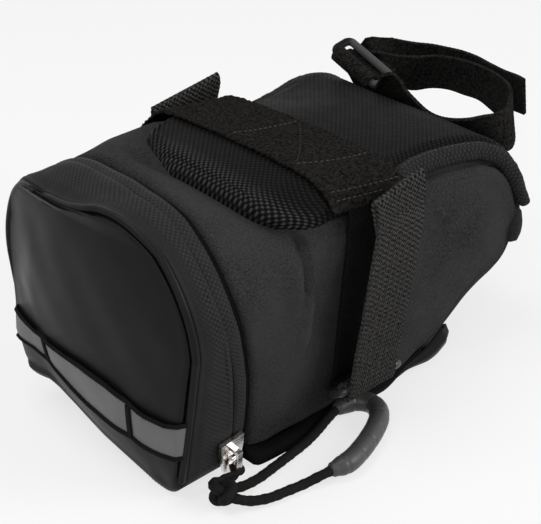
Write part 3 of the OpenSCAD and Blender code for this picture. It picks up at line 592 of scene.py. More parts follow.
def stitches(name, rows, finish, pitch=2.4, length=1.8, thick=0.3):
    """Rows of short stitches; a row is a line of points and their normals."""
    bm = bmesh.new()
    for line, normal in rows:
        s = run_up(gaps(line))
        for place in np.arange(pitch / 2, s[-1], pitch):
            at = [np.array([np.interp(place + q, s, line[:, c]) for c in range(3)])
                  for q in (-0.4, 0, 0.4)]
            n = unit(np.array([np.interp(place, s, normal[:, c]) for c in range(3)]))
            way = unit(at[2] - at[0])
            side = unit(np.cross(n, way))
            turn = Matrix((way * length / 2, side * thick, np.cross(way, side) * thick)).transposed()
            matrix = Matrix.Translation(Vector(at[1] * MM)) @ (turn * MM).to_4x4()
            bmesh.ops.create_uvsphere(bm, u_segments=6, v_segments=5, radius=1,
                                      matrix=matrix @ Matrix.Rotation(math.pi / 2, 4, "Y"))
    mesh = bpy.data.meshes.new(name)
    bm.to_mesh(mesh)
    bm.free()
    mesh.shade_smooth()
    mesh.materials.append(finish.material)
    obj = bpy.data.objects.new(name, mesh)
    scene.collection.objects.link(obj)
    return obj


def swell(points, held, outward, rise):
    """Blows a sheet up against its held points; gives how far each point rises."""
    rows, cols = points.shape[:2]
    obj = grid_object("swell", points, points[..., :2], outward, None)
    start = np.empty(rows * cols * 3, np.float32)
    obj.data.vertices.foreach_get("co", start)
    start = start.reshape(-1, 3)
    group = obj.vertex_groups.new(name="held")
    places = (points.reshape(-1, 3) * MM).astype(np.float32)
    lookup = {tuple(np.round(c, 6)): n for n, c in enumerate(places)}
    order = np.array([lookup[tuple(np.round(c, 6))] for c in start])
    flags = held.ravel()[order]
    group.add([int(v) for v in np.nonzero(flags)[0]], 1.0, "REPLACE")
    cloth = obj.modifiers.new("cloth", "CLOTH")
    settings = cloth.settings
    settings.quality = 6
    settings.mass = 0.25
    settings.tension_stiffness = settings.compression_stiffness = 12
    settings.shear_stiffness = 5
    settings.bending_stiffness = 0.6
    settings.vertex_group_mass = "held"
    settings.use_pressure = True
    settings.uniform_pressure_force = 4.0
    settings.effector_weights.gravity = 0
    cloth.point_cache.frame_start, cloth.point_cache.frame_end = 1, CLOTH_FRAMES
    for number in range(1, CLOTH_FRAMES + 1):
        scene.frame_set(number)
    blown = obj.evaluated_get(bpy.context.evaluated_depsgraph_get()).to_mesh()
    after = np.empty(rows * cols * 3, np.float32)
    blown.vertices.foreach_get("co", after)
    moved = np.zeros((rows * cols, 3))
    moved[order] = (after.reshape(-1, 3) - start) / MM
    mesh = obj.data
    bpy.data.objects.remove(obj)
    bpy.data.meshes.remove(mesh)
    scene.frame_set(1)
    out = np.sum(moved.reshape(rows, cols, 3) * outward, axis=-1)
    out[held] = 0
    return np.clip(out / max(np.percentile(out, 98), 1e-6), -0.3, 1.05) * rise


def refined(field, rows, fine_rows, cols, fine_cols, passes=4):
    """A field on a coarse grid, brought to a finer one and smoothed."""
    half = np.array([np.interp(fine_cols, cols, row) for row in field])
    full = np.array([np.interp(fine_rows, rows, half[:, k]) for k in range(len(fine_cols))]).T
    for _ in range(passes):
        for axis in (0, 1):
            grown = np.concatenate([full.take([0], axis), full, full.take([-1], axis)], axis)
            full = (grown.take(range(full.shape[axis]), axis) + 2 * full
                    + grown.take(range(2, full.shape[axis] + 2), axis)) / 4
    return full


def settle(obj, body, slot, *nodes):
    """Puts a piece on its body and hides the solids that it stands for; the slot is not used."""
    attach(obj, body)
    if nodes:
        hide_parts(*nodes)
    return obj


# Cord pull: the route lies on the floor from the knot round the grip and back

CORD_RADIUS, GRIP_RADIUS = 1.5, 3.35
LAY, GRIP_LAY = 1.8, 3.8
KNOT = np.array([REAR + 7.4, -48.8, 4.4])
ROUTE = [(9, -47.4, 4.2), (14.5, -48.8, 3), (22, -48.6, LAY), (30, -47.8, LAY), (38, -46.8, LAY),
         (46, -45.6, LAY), (53, -44, 2.2), (59, -42.6, 3.2), (63.5, -41.9, GRIP_LAY),
         (68.4, -41.8, GRIP_LAY), (72, -43.6, GRIP_LAY), (73.8, -46.8, GRIP_LAY),
         (73.2, -50.6, GRIP_LAY), (70.4, -54, GRIP_LAY), (65.8, -56.9, GRIP_LAY), (59.6, -59.7, GRIP_LAY),
         (53, -62, GRIP_LAY), (46.4, -63.4, GRIP_LAY), (40.2, -62.8, GRIP_LAY), (36.2, -61.6, 3),
         (31.2, -60, LAY), (24.8, -58.8, LAY), (18.6, -57.4, LAY), (12.8, -55, 2.6),
         (8.6, -51.6, 4.2)]
GRIP_FIRST, GRIP_LAST = 8, 18
route = np.array(ROUTE) + (REAR, 0, 0)
cord_line = spline(route, 460)


def strands(radius, pitch, depth):
    """Relief of a braid: two families of strands that cross."""
    def relief(s, a):
        turn = 2 * np.pi * s / pitch
        return depth * (np.abs(np.sin(4 * a + turn)) * np.abs(np.sin(4 * a - turn)) - 0.5) * radius
    return relief


pull_cord = tube("pull_cord", cord_line, CORD_RADIUS, braid, 24, strands(CORD_RADIUS, 9.0, 0.16))
grip_line = spline(route[GRIP_FIRST:GRIP_LAST + 1], 150)
grip_share = np.linspace(0, 1, 150)
grip_taper = GRIP_RADIUS - 1.0 * (dip(grip_share, 0, .05) + dip(grip_share, 1, .05))
cord_grip = tube("cord_grip", grip_line, grip_taper, rubber, 28,
                 lambda s, a: -0.22 * np.maximum(0, np.cos(2 * np.pi * s / 7.0)) ** 14)
turn = np.linspace(0, 2 * np.pi, 140)[:-1]
knot_shape = np.stack([np.sin(3 * turn) * 1.5, np.sin(turn) + 2 * np.sin(2 * turn),
                       np.cos(turn) - 2 * np.cos(2 * turn)], -1) * (1.45, 1.3, 1.1)
cord_knot = tube("cord_knot", KNOT + (0.6, -0.2, 0.6) + knot_shape, 1.5, braid, 16,
                 strands(1.5, 9.0, 0.16))
ZIP_FOOT = np.array([-67.226, -39, 9.51158])
ZIP_WAY = np.array([-0.0883759, -0.1672, 0.981954])
PULL_END = ZIP_FOOT - 0.4 * ZIP_WAY + (0, -4.1, 0) - 5.8 * ZIP_WAY
eye_line = spline([KNOT + (1, 1.5, 0.6), KNOT + (2.6, 3.4, 1.2), PULL_END + (1.2, -1.2, 0.4),
                   PULL_END + (0.6, 0.9, 1.5), PULL_END + (-0.8, 0.8, 1.3),
                   PULL_END + (-1.2, -1.4, 0), KNOT + (-0.4, 2.6, 0.2), KNOT + (0, 1, -0.6)], 70)
cord_eye = tube("cord_eye", eye_line, 0.95, braid, 14, strands(0.95, 7.0, 0.14))
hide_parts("pull_cord")
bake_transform(pull_cord)
settle(cord_grip, "bag", "grip_rubber", "cord_grip")
settle(cord_knot, "slider", "cord")
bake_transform(cord_eye)

# Rear panel: coated fabric over foam, sewn into the lid's seam

FABRIC = 1.6
PANEL_BULGE = 8.0
BAND_LOW, BAND_HIGH, EDGING = 19.0, 30.5, 2.0
RIM = 0.965
RIM_SINK = 2.2
TACKS = -0.54, 0.43
FLATTER = 0.72
RIM_COUNT, PANEL_COARSE, PANEL_FINE = 400, 34, 150
rim_j = np.linspace(2.9, TOP_EDGE, RIM_COUNT)
rim_y, rim_z, _ = section(np.zeros_like(rim_j), rim_j)
rim_y = -rim_y
PANEL_LOW, PANEL_HIGH = section(np.zeros(2), np.array([3.0, 17.0]))[1]


def panel_half(z):
    """Half width of the panel at a height."""
    return np.interp(z, rim_z, rim_y)


def bulge(y, z):
    """Rise of the padded panel behind the rear seam."""
    u = np.clip((z - PANEL_LOW) / (PANEL_HIGH - PANEL_LOW), 0, 1)
    v = np.minimum(1, np.abs(y) / panel_half(z) / RIM)
    left = 1 - 0.42 * ease((y / panel_half(z) - 0.2) / 0.8) * ease((z - 26) / 20)
    return PANEL_BULGE * left * np.sin(np.pi * u) ** 0.6 * (1 - v * v) ** 0.75


def panel_shift(y, z):
    """How the panel follows its seam, which wanders."""
    j = np.interp(z, rim_z, rim_j)
    share = (y / panel_half(z) + 1) / 2
    right_side, left_side = wander(j), wander(LOOP - j)
    crest = ease((j - 15) / 3)
    forward, up = (a + (b - a) * share + crest * (c - f - (g - f) * share) for a, b, c, f, g in
                   zip(right_side, left_side, wander(18 + 6 * share), wander(18.0), wander(24.0)))
    return np.stack([forward, 0 * y, up + tuck_up(0.0, y, z)], -1)


def rim_distance(y, z):
    """Distance from the flat outline of the rear seam."""
    loop_j = np.linspace(0, LOOP, 500)
    ly, lz, _ = section(np.zeros_like(loop_j), loop_j)
    return np.sqrt(np.min((y[..., None] - ly) ** 2 + (z[..., None] - lz) ** 2, axis=-1))


def panel_columns(count):
    """Shares of the half width, closer together at the sides."""
    return (np.sin(np.linspace(-np.pi / 2, np.pi / 2, count)) * 0.35
            + np.linspace(-1, 1, count) * 0.65)


def panel_grid(count):
    """Sideways places and heights on the panel, as many rows as columns."""
    j = np.interp(np.linspace(0, 1, count), np.linspace(0, 1, RIM_COUNT), rim_j)
    y0, z, _ = section(np.zeros_like(j), j)
    return panel_columns(count)[None, :] * -y0[:, None], np.repeat(z[:, None], count, 1)


y, z = panel_grid(PANEL_COARSE)
held = hold_edges(np.zeros(y.shape, bool))
coarse = np.stack([REAR - FLATTER * bulge(y, z) - FABRIC, y, z], -1)
panel_rise = swell(coarse, held, BACKWARD, 1.1)
y, z = panel_grid(PANEL_FINE)
even = np.linspace(0, 1, PANEL_COARSE), np.linspace(0, 1, PANEL_FINE)
panel_rise = refined(panel_rise, even[0], even[1], even[0], even[1], 5)
panel_rise += 0.15 * bulge(y, z)


def panel_depth(y, z):
    """The panel's outer face, without the cloth's own rise."""
    roll = np.sqrt(1 - (1 - np.clip(rim_distance(y, z) / 2.4, 0, 1)) ** 2)
    slack = 0.35 * waves(y, z, 9.0, 3) * ease(rim_distance(y, z) / 12)
    pulled = np.interp(z, [10, 24, 34, 45, 66, 78], [1.2, 1.2, -.4, -1.4, -1.4, 0])
    return FLATTER * bulge(y, z) + 1.5 * roll + slack + pulled * ease((y / panel_half(z) - 0.5) / 0.4)


points = np.stack([REAR - panel_depth(y, z) - panel_rise, y, z], -1) + panel_shift(y, z)
inward = unit(np.stack([0 * y, -y, 45 - z], -1))
sink = RIM_SINK * (1 - ease((9 - z) / 6))
points += inward * (sink * dip(rim_distance(y, z), 0, 1.0))[..., None]
rear_panel = grid_object("rear_panel", points, np.stack([y, z], -1), BACKWARD, coated, 1.0)
settle(rear_panel, "lid", "coated_fabric", "rear_panel")


def panel_rise_at(y, z):
    """The cloth's rise at places between the panel's points."""
    row = np.interp(z, rim_z, np.linspace(0, PANEL_FINE - 1, RIM_COUNT))
    column = np.interp(y / panel_half(z), panel_columns(PANEL_FINE), np.arange(float(PANEL_FINE)))
    a, b = (np.clip(place.astype(int), 0, PANEL_FINE - 2) for place in (row, column))
    p, q = row - a, column - b
    return ((1 - p) * ((1 - q) * panel_rise[a, b] + q * panel_rise[a, b + 1])
            + p * ((1 - q) * panel_rise[a + 1, b] + q * panel_rise[a + 1, b + 1]))


def on_panel(t, z, lift):
    """Points over the rear panel at a share of its half width and a height."""
    y = t * panel_half(z)
    return (np.stack([REAR - panel_depth(y, z) - panel_rise_at(y, z) - lift, y, z], -1)
            + panel_shift(y, z))


# Lining of the lid, over the foam

y, z = panel_grid(40)
y, z = y * 0.93, 5 + (z - 5) * 0.93 + 1
tuck = ease(rim_distance(y, z) / 9)
points = np.stack([REAR - 0.9 * bulge(y, z) * tuck + 4.4 * tuck + 0.3, y, z], -1) + panel_shift(y, z)
rear_lining = grid_object("rear_lining", points, np.stack([y, z], -1), FORWARD, lining, 0.5)
settle(rear_lining, "lid", "lining", "rear_lining", "rear_foam")

# Reflective band with its edgings, held at the rim and by two bar tacks

BAND_REACH = 44
# Shares of the half width, then how far the upper and the lower edge bow up there
BAND_BOW = np.array([(-1, -.86, -.7, -.54, -.32, -.06, .2, .43, 1),
                     (-2.3, -3.6, -3, -1.2, 1, 2, 1.6, 1.2, 1.6),
                     (-2, -2.3, -2.2, -1.9, -1.4, -1, .6, 1.8, 2)])


def on_band(t, z, lift):
    """Points over the panel along the band, whose edges bow up and down."""
    upper, lower = (np.interp(t, BAND_BOW[0], BAND_BOW[k]) for k in (1, 2))
    share = (z - BAND_LOW) / (BAND_HIGH - BAND_LOW)
    return on_panel(t, z + lower + (upper - lower) * share, lift)


def stand_off(t):
    """Gap under the band, closed at its tacks and ends."""
    tacked = np.maximum(dip(t, TACKS[0], 0.07), dip(t, TACKS[1], 0.07))
    return 0.5 * (1 - np.maximum(tacked, dip(np.abs(t), 1, 0.12)))


def tucked_end(t):
    """How far the band's ends sink into the rim, deeper at the left."""
    return np.where(t > 0, 2.0, 0.9) * ease((np.abs(t) - np.where(t > 0, 0.88, 0.95)) / 0.05)


t, z = np.meshgrid(np.linspace(-0.995, 0.985, 150), np.linspace(BAND_LOW - .3, BAND_HIGH + .3, 12),
                   indexing="ij")
points = on_band(t, z, 0.6 + stand_off(t) - tucked_end(t))
reflective_band = grid_object("reflective_band", points, np.stack([t * BAND_REACH, z], -1), BACKWARD,
                              reflective, 0.5)
settle(reflective_band, "lid", "reflective", "reflective_band")
for name, low, high in (("band_upper_edging", BAND_HIGH, BAND_HIGH + EDGING),
                        ("band_lower_edging", BAND_LOW - EDGING, BAND_LOW)):
    t, z = np.meshgrid(np.linspace(-0.997, 0.988, 520), np.linspace(low, high, 9), indexing="ij")
    u = (z - low) / (high - low) * 2 - 1
    ribbed = 0.32 * np.abs(np.sin(np.pi * t * BAND_REACH / 1.15)) ** 0.7
    points = on_band(t, z, 0.35 + stand_off(t) - tucked_end(t) + (0.75 + ribbed) * np.sqrt(1 - 0.9 * u * u))
    piece = grid_object(name, points, np.stack([t * BAND_REACH, z], -1), BACKWARD, edging, 0.7)
    settle(piece, "lid", "webbing", name)
rows = []
for side in TACKS:
    for height in np.arange(BAND_LOW + 0.2, BAND_HIGH, 0.42):
        t = np.array([side - 0.028, side, side + 0.028])
        line = on_band(t, np.full(3, height), 0.9)
        rows.append((line, np.tile(BACKWARD, (3, 1))))
bar_tacks = stitches("band_bar_tacks", rows, edging, 2.2, 2.4, 0.4)
settle(bar_tacks, "lid", "webbing", "band_bar_tacks")

# Zip gusset of the lid: laminated tape pressed over the coil

ZIP, GAP = 19.5, 0.45


def parted(j):
    """Share by which the two tapes part over the coil; higher up they meet."""
    return 1 - 0.97 * ease((j - 8.5) / 3)


d, j = np.linspace(0, ZIP - 0.04, 58), even_j(0, LOOP, 0.4, 8.0)
uv, dd, jj = cloth_grid(d, j)
low_j = from_base(jj)
dotted = ease((dd - 3.2) / 2.4) * ease((low_j - 6.5) / 2.0) * (1 - dip(dd, ZIP, 0.9))
sink = RIM_SINK * (1 - ease((6.5 - low_j) / 2))
lift = (-sink * dip(dd, 0, 0.9) - 0.55 * dip(dd, ZIP, 0.5) * parted(low_j)
        + dotted * 0.35 * lattice(uv[..., 0], uv[..., 1], 1.8, 1.7, 0.7)
        + 0.3 * waves(uv[..., 0] * 2, uv[..., 1], 14.0, 5) * ease(dd / 5) * ease((low_j - 5) / 2))
points, n = bag_skin(d, j, lift)
points[:, -1] = points[:, 0]
gusset = grid_object("lid_gusset", above_floor(points), uv, n, tape, 1.1, close=True)
settle(gusset, "lid", "laminated_tape", "lid_gusset")

# Folded edge of the rear panel, which fills the groove of its seam

j = even_j(5.5, LOOP - 5.5, 1.6, 2.0)
seam_depth = np.interp(j, [24, 27], [0.95, 2.0])
seam_line = spline(bag_skin(np.array([-0.3]), j, -seam_depth[None, :])[0][0], 420)
rear_seam = tube("rear_seam", seam_line, 1.25, coated, 14)
settle(rear_seam, "lid", "coated_fabric")

# Zip tape of the bag

d, j = np.linspace(ZIP + 0.04, SEAM - GAP, 24), even_j(4, LOOP - 4, 0.5, 22.0)
uv, dd, jj = cloth_grid(d, j)
uv = uv + (ZIP, 0)
low_j = from_base(jj)
dotted = ease((low_j - 6.5) / 2.0) * ease((23.4 - dd) / 1.5) * (1 - dip(dd, ZIP, 0.9))
lift = (-2.2 * dip(dd, SEAM - GAP, 0.8) - 0.55 * dip(dd, ZIP, 0.5) * parted(low_j)
        + dotted * 0.35 * lattice(uv[..., 0], uv[..., 1], 1.8, 1.7, 0.7))
points, n = bag_skin(d, j, lift)
body_zip_tape = grid_object("body_zip_tape", above_floor(points), uv, n, tape, 1.1)
settle(body_zip_tape, "bag", "laminated_tape", "body_zip_tape")


def coil(name, first, last, flip):
    """Half of the zip's coil, under the edge of its tape."""
    d, j = np.linspace(first, last, 7), even_j(4, LOOP - 4, 0.22, 20.0)
    uv = flat_map(bag_skin(d, j, -2.5)[0], len(j) // 2)
    tooth = np.abs(np.sin(np.pi * uv[..., 1] / 1.3 + (np.pi / 2 if flip else 0)))
    points, n = bag_skin(d, j, -2.6 + 0.75 * tooth ** 0.6)
    return grid_object(name, points, uv, n, teeth, 1.4)


settle(coil("lid_zip_chain", 16.6, 19.45, False), "lid", "zip_teeth", "lid_zip_chain")
settle(coil("body_zip_chain", 19.55, 22.4, True), "bag", "zip_teeth", "body_zip_chain")

# Edges of the top pad, which the wrap and the piping follow too


def pad_right(d):
    """Place of the pad's right edge, which rises ahead of the strap and drops at the nose."""
    return np.interp(d, [80, 90, 97, 105, 115, 127, 135, 139, 143, 146, 148],
                     [PAD_SIDE, 15.4, 15.9, 16, 15.9, 15.5, 14.8, 13.9, 12.9, 12.3, 12.1])


def pad_left(d):
    """Place of the pad's left edge, which is drawn in behind the strap."""
    return np.interp(d, [PAD_START, 42, 58, 72], [23.2, 24, 24.4, LOOP - PAD_SIDE])


def flattened(d, j):
    """How far the top's left edge lies under its pattern; it rises a little by the nose."""
    low = np.interp(d, [55, 75, 88, 104, 116, 130, 141, 149], [0, 3, 5, 4.8, 2.6, -1.2, -2.8, 0])
    return low * ease((j - 21.3) / 4)


# Woven body: one wrap over sides and top, a base panel and a front panel

coarse_d, coarse_j = even_d(SEAM, NOSE, 4.0), even_j(SIDE_LOW, LOOP - SIDE_LOW, 4.0)
coarse, n = bag_skin(coarse_d, coarse_j)
dd, jj = np.meshgrid(coarse_d, coarse_j, indexing="ij")
edge_j = from_base(jj)
held = (((dd > 58) & (dd < 84) & (edge_j < PAD_SIDE + 1)) | ((dd > PAD_START) & (edge_j > PAD_SIDE)))
wrap_rise = swell(coarse, hold_edges(held), n, 0.6)
d, j = even_d(SEAM + GAP, NOSE, 1.25), even_j(SIDE_LOW, LOOP - SIDE_LOW, 1.25)
wrap_rise = refined(wrap_rise, coarse_d, d, coarse_j, j, 4)
uv, dd, jj = cloth_grid(d, j)
edge_j = from_base(jj)
free = ease((13.2 - edge_j) / 1.5) * (1 - ease((dd - 54) / 5) * (1 - ease((dd - 84) / 5)))
high = ease((edge_j - 9.9) / 0.8) * (1 - ease((edge_j - 12.6) / 1.0))
low = ease((edge_j - 8.3) / 0.9) * (1 - ease((edge_j - 10.2) / 0.8))
folds = (high * (2.5 * dip(dd, 32.2, 0.5) - 2.6 * dip(dd, 33.3, 0.65))
         + low * 2.7 * dip(dd, np.interp(edge_j, [8.9, 9.8, 10.4], [32.4, 32.9, 34.2]), 0.7))
lift = (wrap_rise - 2.4 * dip(dd, SEAM + GAP, 1.0) - 0.7 * dip(edge_j, SIDE_LOW, 0.06)
        + 0.45 * free * waves(uv[..., 0], uv[..., 1], 8.5, 8)
        + 0.2 * ease((dd - SEAM) / 5) * free * waves(uv[..., 0], uv[..., 1], 3.6, 9)
        + folds
        - 2.6 * dip(dd, PAD_START, 2.0) * ease((edge_j - 11.5) / 2) * (1 - ease((jj - 23) / 1.5))
        - 2.6 * dip(jj, pad_right(dd) - 1.3, 0.42) * ease((dd - 88) / 6)
        - np.maximum(flattened(dd, jj), 0) * (1 - ease((jj - 27.6) / 1.4)))
points, n = bag_skin(d, j, lift)
body_wrap = grid_object("body_wrap", points, uv, n, nylon, 1.2)
settle(body_wrap, "bag", "nylon", "body_wrap")
for name, first, last in (("base_panel", SEAM, BASE_END), ("front_panel", BASE_END, NOSE)):
    d, j = even_d(first, last, 1.6), even_j(LOOP - SIDE_LOW, LOOP + SIDE_LOW, 1.4)
    uv, dd, jj = cloth_grid(d, j)
    side_edge = SIDE_LOW - np.abs(jj - LOOP)
    lift = (-1.7 * dip(dd, SEAM, 1.5) - 0.6 * dip(dd, BASE_END, 1.0) - 0.7 * dip(side_edge, 0, 0.12)
            + 0.15 * waves(uv[..., 0], uv[..., 1], 9.0, 12) - 0.2
            + 2.6 * dip(side_edge, 1.7, 1.0) * ease((dd - 22) / 6) * (1 - ease((dd - 84) / 16)))
    points, n = bag_skin(d, j, lift)
    swung = dip(side_edge, 1.9, 1.3) * ease((dd - 22) / 5) * (1 - ease((dd - 34) / 40))
    points[..., 1] += np.sign(points[..., 1]) * 3.4 * swung
    piece = grid_object(name, above_floor(points), uv, n, base_cloth_and_groove_shade if last == BASE_END else nylon, 1.2)
    settle(piece, "bag", "nylon", name)

# Binding that closes the nose

span = np.linspace(-1, 1, 60)
nose_line = np.stack([np.full(60, REAR + NOSE - 1.2), 43.0 * span,
                      42.0 + 0.6 * (1 - span * span)], -1)
nose_size = 9.6 * (1 - 0.2 * np.abs(span) ** 8)
nose_binding = tube("nose_binding", nose_line, nose_size, nylon, 32, squeeze=0.27)
settle(nose_binding, "bag", "nylon", "nose_binding")

# Base patch, with a raised lip folded back at its front

d, j = even_d(PILE_END, 115.5, 1.2), even_j(LOOP - 5, LOOP + 5, 1.2)
uv, _, _ = cloth_grid(d, j)
rim_u = np.minimum(uv[..., 0] - uv[:1, :, 0], uv[-1:, :, 0] - uv[..., 0])
rim_v = np.minimum(uv[..., 1] - uv[:, :1, 1], uv[:, -1:, 1] - uv[..., 1])
front_lip = 6.0 * ease((d - 96) / 15)[:, None] * np.sqrt(ease(rim_v / 5))
points, n = bag_skin(d, j, 1.0 * ease(np.minimum(rim_u, rim_v) / 1.6) - 0.1 + front_lip)
points = above_floor(points)
tip_n = n[-1]
fold = np.array([points[-1] + (1.6 * a, 0, 0) - tip_n * b * front_lip[-1][:, None]
                 for a, b in ((0.8, 0.12), (1.0, 0.35), (0.7, 0.7), (0.0, 1.0))])
points = np.concatenate([points, fold])
n = np.concatenate([n, np.repeat(tip_n[None] + FORWARD, len(fold), 0)])
uv = flat_map(points, len(j) // 2)
base_patch = grid_object("base_patch", points, uv, n, coated, 0.7)
settle(base_patch, "bag", "nylon", "base_patch")

# Binding of the seam inside, and the strip that hinges the lid

d, j = np.linspace(SEAM - 1.2, ALLOWANCE, 8), even_j(0, LOOP, 1.6, 27.0)
points, n = bag_skin(d, j, -2.6)
points[:, -1] = points[:, 0]
# The seam binding is near black where it shows through the seam's groove: painted shade.
seam_binding = grid_object("seam_binding", points, flat_map(points), -n, base_cloth_and_groove_shade, 0.8, close=True)
settle(seam_binding, "bag", "webbing", "seam_binding")

d, j = np.linspace(18.2, 27.0, 22), even_j(LOOP - 3.4, LOOP + 3.4, 2.0, 22.0)
points, n = bag_skin(d, j, -0.25 - 0.25 * np.sin(np.linspace(0, np.pi, 22))[:, None])
hinge_strip = grid_object("lid_hinge_strip", points, flat_map(points), n, tape, 0.9)
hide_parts("lid_hinge_strip")
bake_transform(hinge_strip)

# Lining of the bag, over the foam and the base board

d, j = np.concatenate([np.linspace(ALLOWANCE, 36, 5), even_d(38, 141, 4.0)]), even_j(0, LOOP, 3.0)
points, n = bag_skin(d, j, -np.interp(d, [ALLOWANCE, 36, 141], [2.6, 4.5, 4.5])[:, None])
points[:, -1] = points[:, 0]
middle = points[-1].mean(axis=0)
for share in (0.7, 0.35, 0.0):
    points = np.concatenate([points, (middle + share * (points[len(d) - 1] - middle))[None]])
n = np.concatenate([n, n[-1:], n[-1:], n[-1:]])
body_lining = grid_object("body_lining", points, flat_map(points), -n, lining, 0.5, close=True)
settle(body_lining, "bag", "lining", "body_lining", "body_foam", "base_board")

# Top pad: embossed skin over foam, rolled at its rear and sides

coarse_d, coarse_j = even_d(PAD_START, 148.5, 4.0), even_j(PAD_SIDE, LOOP - PAD_SIDE, 4.0)
coarse, n = bag_skin(coarse_d, coarse_j, 2.0)
dd, jj = np.meshgrid(coarse_d, coarse_j, indexing="ij")
held = (dd > PILE_START - 1) & (dd < PILE_END + 1)
pad_rise = swell(coarse, hold_edges(held), n, 0.5)
d, j = even_d(PAD_START, 148.8, 0.5), even_j(PAD_SIDE, LOOP - PAD_SIDE, 0.5)
pad_rise = refined(pad_rise, coarse_d, d, coarse_j, j, 6)
uv, _, _ = cloth_grid(d, j)
from_rear = uv[..., 0]
from_side = np.array([np.minimum(row - np.interp(pad_right(place), j, row),
                                 np.interp(pad_left(place), j, row) - row)
                      for place, row in zip(d, uv[..., 1])])
corner = np.where(j > TOP, 19.0, 10.0)[None, :] + 0 * from_rear
inset = np.where((from_rear < corner) & (from_side < corner),
                 corner - np.hypot(corner - from_rear, corner - from_side),
                 np.minimum(from_rear, from_side))
roll = np.sqrt(1 - (1 - np.clip(inset / 6.0, 0, 1)) ** 2)
pebbles = lattice(uv[..., 0], uv[..., 1], 2.1, 2.0, 0.8) * ease(inset / 1.2)
flatter = flattened(d[:, None], j[None, :])
lift = -3.4 + 6.3 * roll + pad_rise + (0.6 - 0.4 * ease((inset - 4) / 6)) * pebbles - flatter
points, n = bag_skin(d, j, lift)
top_pad = grid_object("top_pad_skin", points, uv, n, emboss, 0.8)
settle(top_pad, "bag", "embossed_skin", "top_pad_skin", "top_pad_foam")

# Piping along the right edge, round the nose and back along the left edge

d = np.linspace(PILE_END, 147.0, 90)
left_lift = (2.0 - flattened(d, LOOP - PAD_SIDE))[:, None]
side_rows = [bag_point(d, k) + lift * bag_normal(d, k) for k, lift in
             ((pad_right(d) + 0.1, 0.9), (np.full_like(d, LOOP - PAD_SIDE - 1.2), left_lift))]
j = np.linspace(12.7, LOOP - PAD_SIDE - 1.4, 60)
front_row = bag_skin(np.array([148.9]), j, 1.6)[0][0]
PIPING_COUNT = 420
piping_line = spline(np.concatenate([side_rows[0][::4], front_row[::4], side_rows[1][::-4]]), PIPING_COUNT)
piping_size = np.interp(np.linspace(0, 1, PIPING_COUNT), [0, .25, .33, .68, 1], [3.4, 2.9, 1.9, 2.1, 2.4])
pad_piping = tube("pad_piping", piping_line, piping_size, binding, 20,
                  lambda s, a: 0.16 * waves(s, a * 2, 1.1, 21))
settle(pad_piping, "bag", "nylon", "pad_piping")

# Pile band across the top


def band_drop(j):
    """How far the band sinks towards its left end."""
    return 2.9 * ease((j - 23.5) / 4)


d, j = np.linspace(PILE_START, PILE_END, 100), even_j(PAD_SIDE + 0.6, LOOP - PAD_SIDE - 0.6, 0.36)
uv, _, _ = cloth_grid(d, j)
fuzz = rng.uniform(0, 0.4, (len(d), len(j)))
fuzz = (fuzz + np.roll(fuzz, 1, 0) + np.roll(fuzz, 1, 1)) / 2
points, n = bag_skin(d, j, 4.1 + 1.4 * fuzz - band_drop(j)[None, :])
pile_band = grid_object("top_pile_band", points, uv, n, pile, 0.9)
settle(pile_band, "bag", "loop_pile", "top_pile_band")

# Side straps, folded round the inner bars of the rings

STRAP_HALF, WEB, WEB_PITCH = 10.0, 1.3, 1.7
INNER_BAR, OUTER_BAR = np.array([43.4348, 13.0]), np.array([49.897, 17.0])
SLEEVE = 2.5


def arc(centre, first, last, count):
    """The fold of a strap round a ring's bar, outward and up."""
    a = np.radians(np.linspace(first, last, count))
    return centre + SLEEVE * np.stack([np.cos(a), np.sin(a)], -1)


def strap_of(name, side, profile, finish, count, relief=None, hang=None):
    """A strap whose profile, outward and up, runs straight across its width unless it hangs askew."""
    path = spline(np.concatenate([profile, np.zeros((len(profile), 1))], 1), count)
    line = np.stack([np.full(count, STRAP_X), side * path[:, 0], path[:, 1]], -1)
    half = np.tile([STRAP_HALF, 0.0, 0.0], (count, 1))
    if hang is not None:
        line, half = hang(line, half)
    return ribbon(name, line, half, finish, WEB, 41, 0.3, relief)


def hang_right(line, half):
    """The right tail leans forward and its end is cut askew."""
    z = line[:, 2]
    line = line + np.stack([np.interp(z, [17, 50, 72, 86], [-3, 0, 4, 1.5]), 0 * z, 0 * z], -1)
    return line, half + np.stack([0 * z, 0 * z, 2.4 * ease((z - 64) / 20)], -1)


def hang_left(line, half):
    """The left tail twists inward and up at its front corner."""
    share = ease((line[:, 2] - 42) / 42)[:, None]
    return line + share * (4.6, -9.5, -0.6), half + share * (0.4, -5.4, 5.2)


def web_relief(s, w):
    """Cords of a woven strap."""
    return 0.1 * np.sin(2 * np.pi * w / WEB_PITCH) * np.sin(2 * np.pi * s / WEB_PITCH)


def side_profile():
    """Way of a side strap from the pile band down the side and round the ring's inner bar."""
    down = [bag_skin(np.array([71.0]), np.array([k]), lift)[0][0, 0]
            for k, lift in ((14.6, 3.9), (14.0, 3.8), (13.3, 3.2), (12.6, 1.9), (12.0, 1.1),
                            (11.0, 0.8), (10.0, 0.8), (9.0, 0.8), (8.0, 0.8), (7.2, 0.9))]
    down = np.array([(abs(p[1]), p[2]) for p in down])
    return np.concatenate([down, arc(INNER_BAR, 178, 498, 22)])


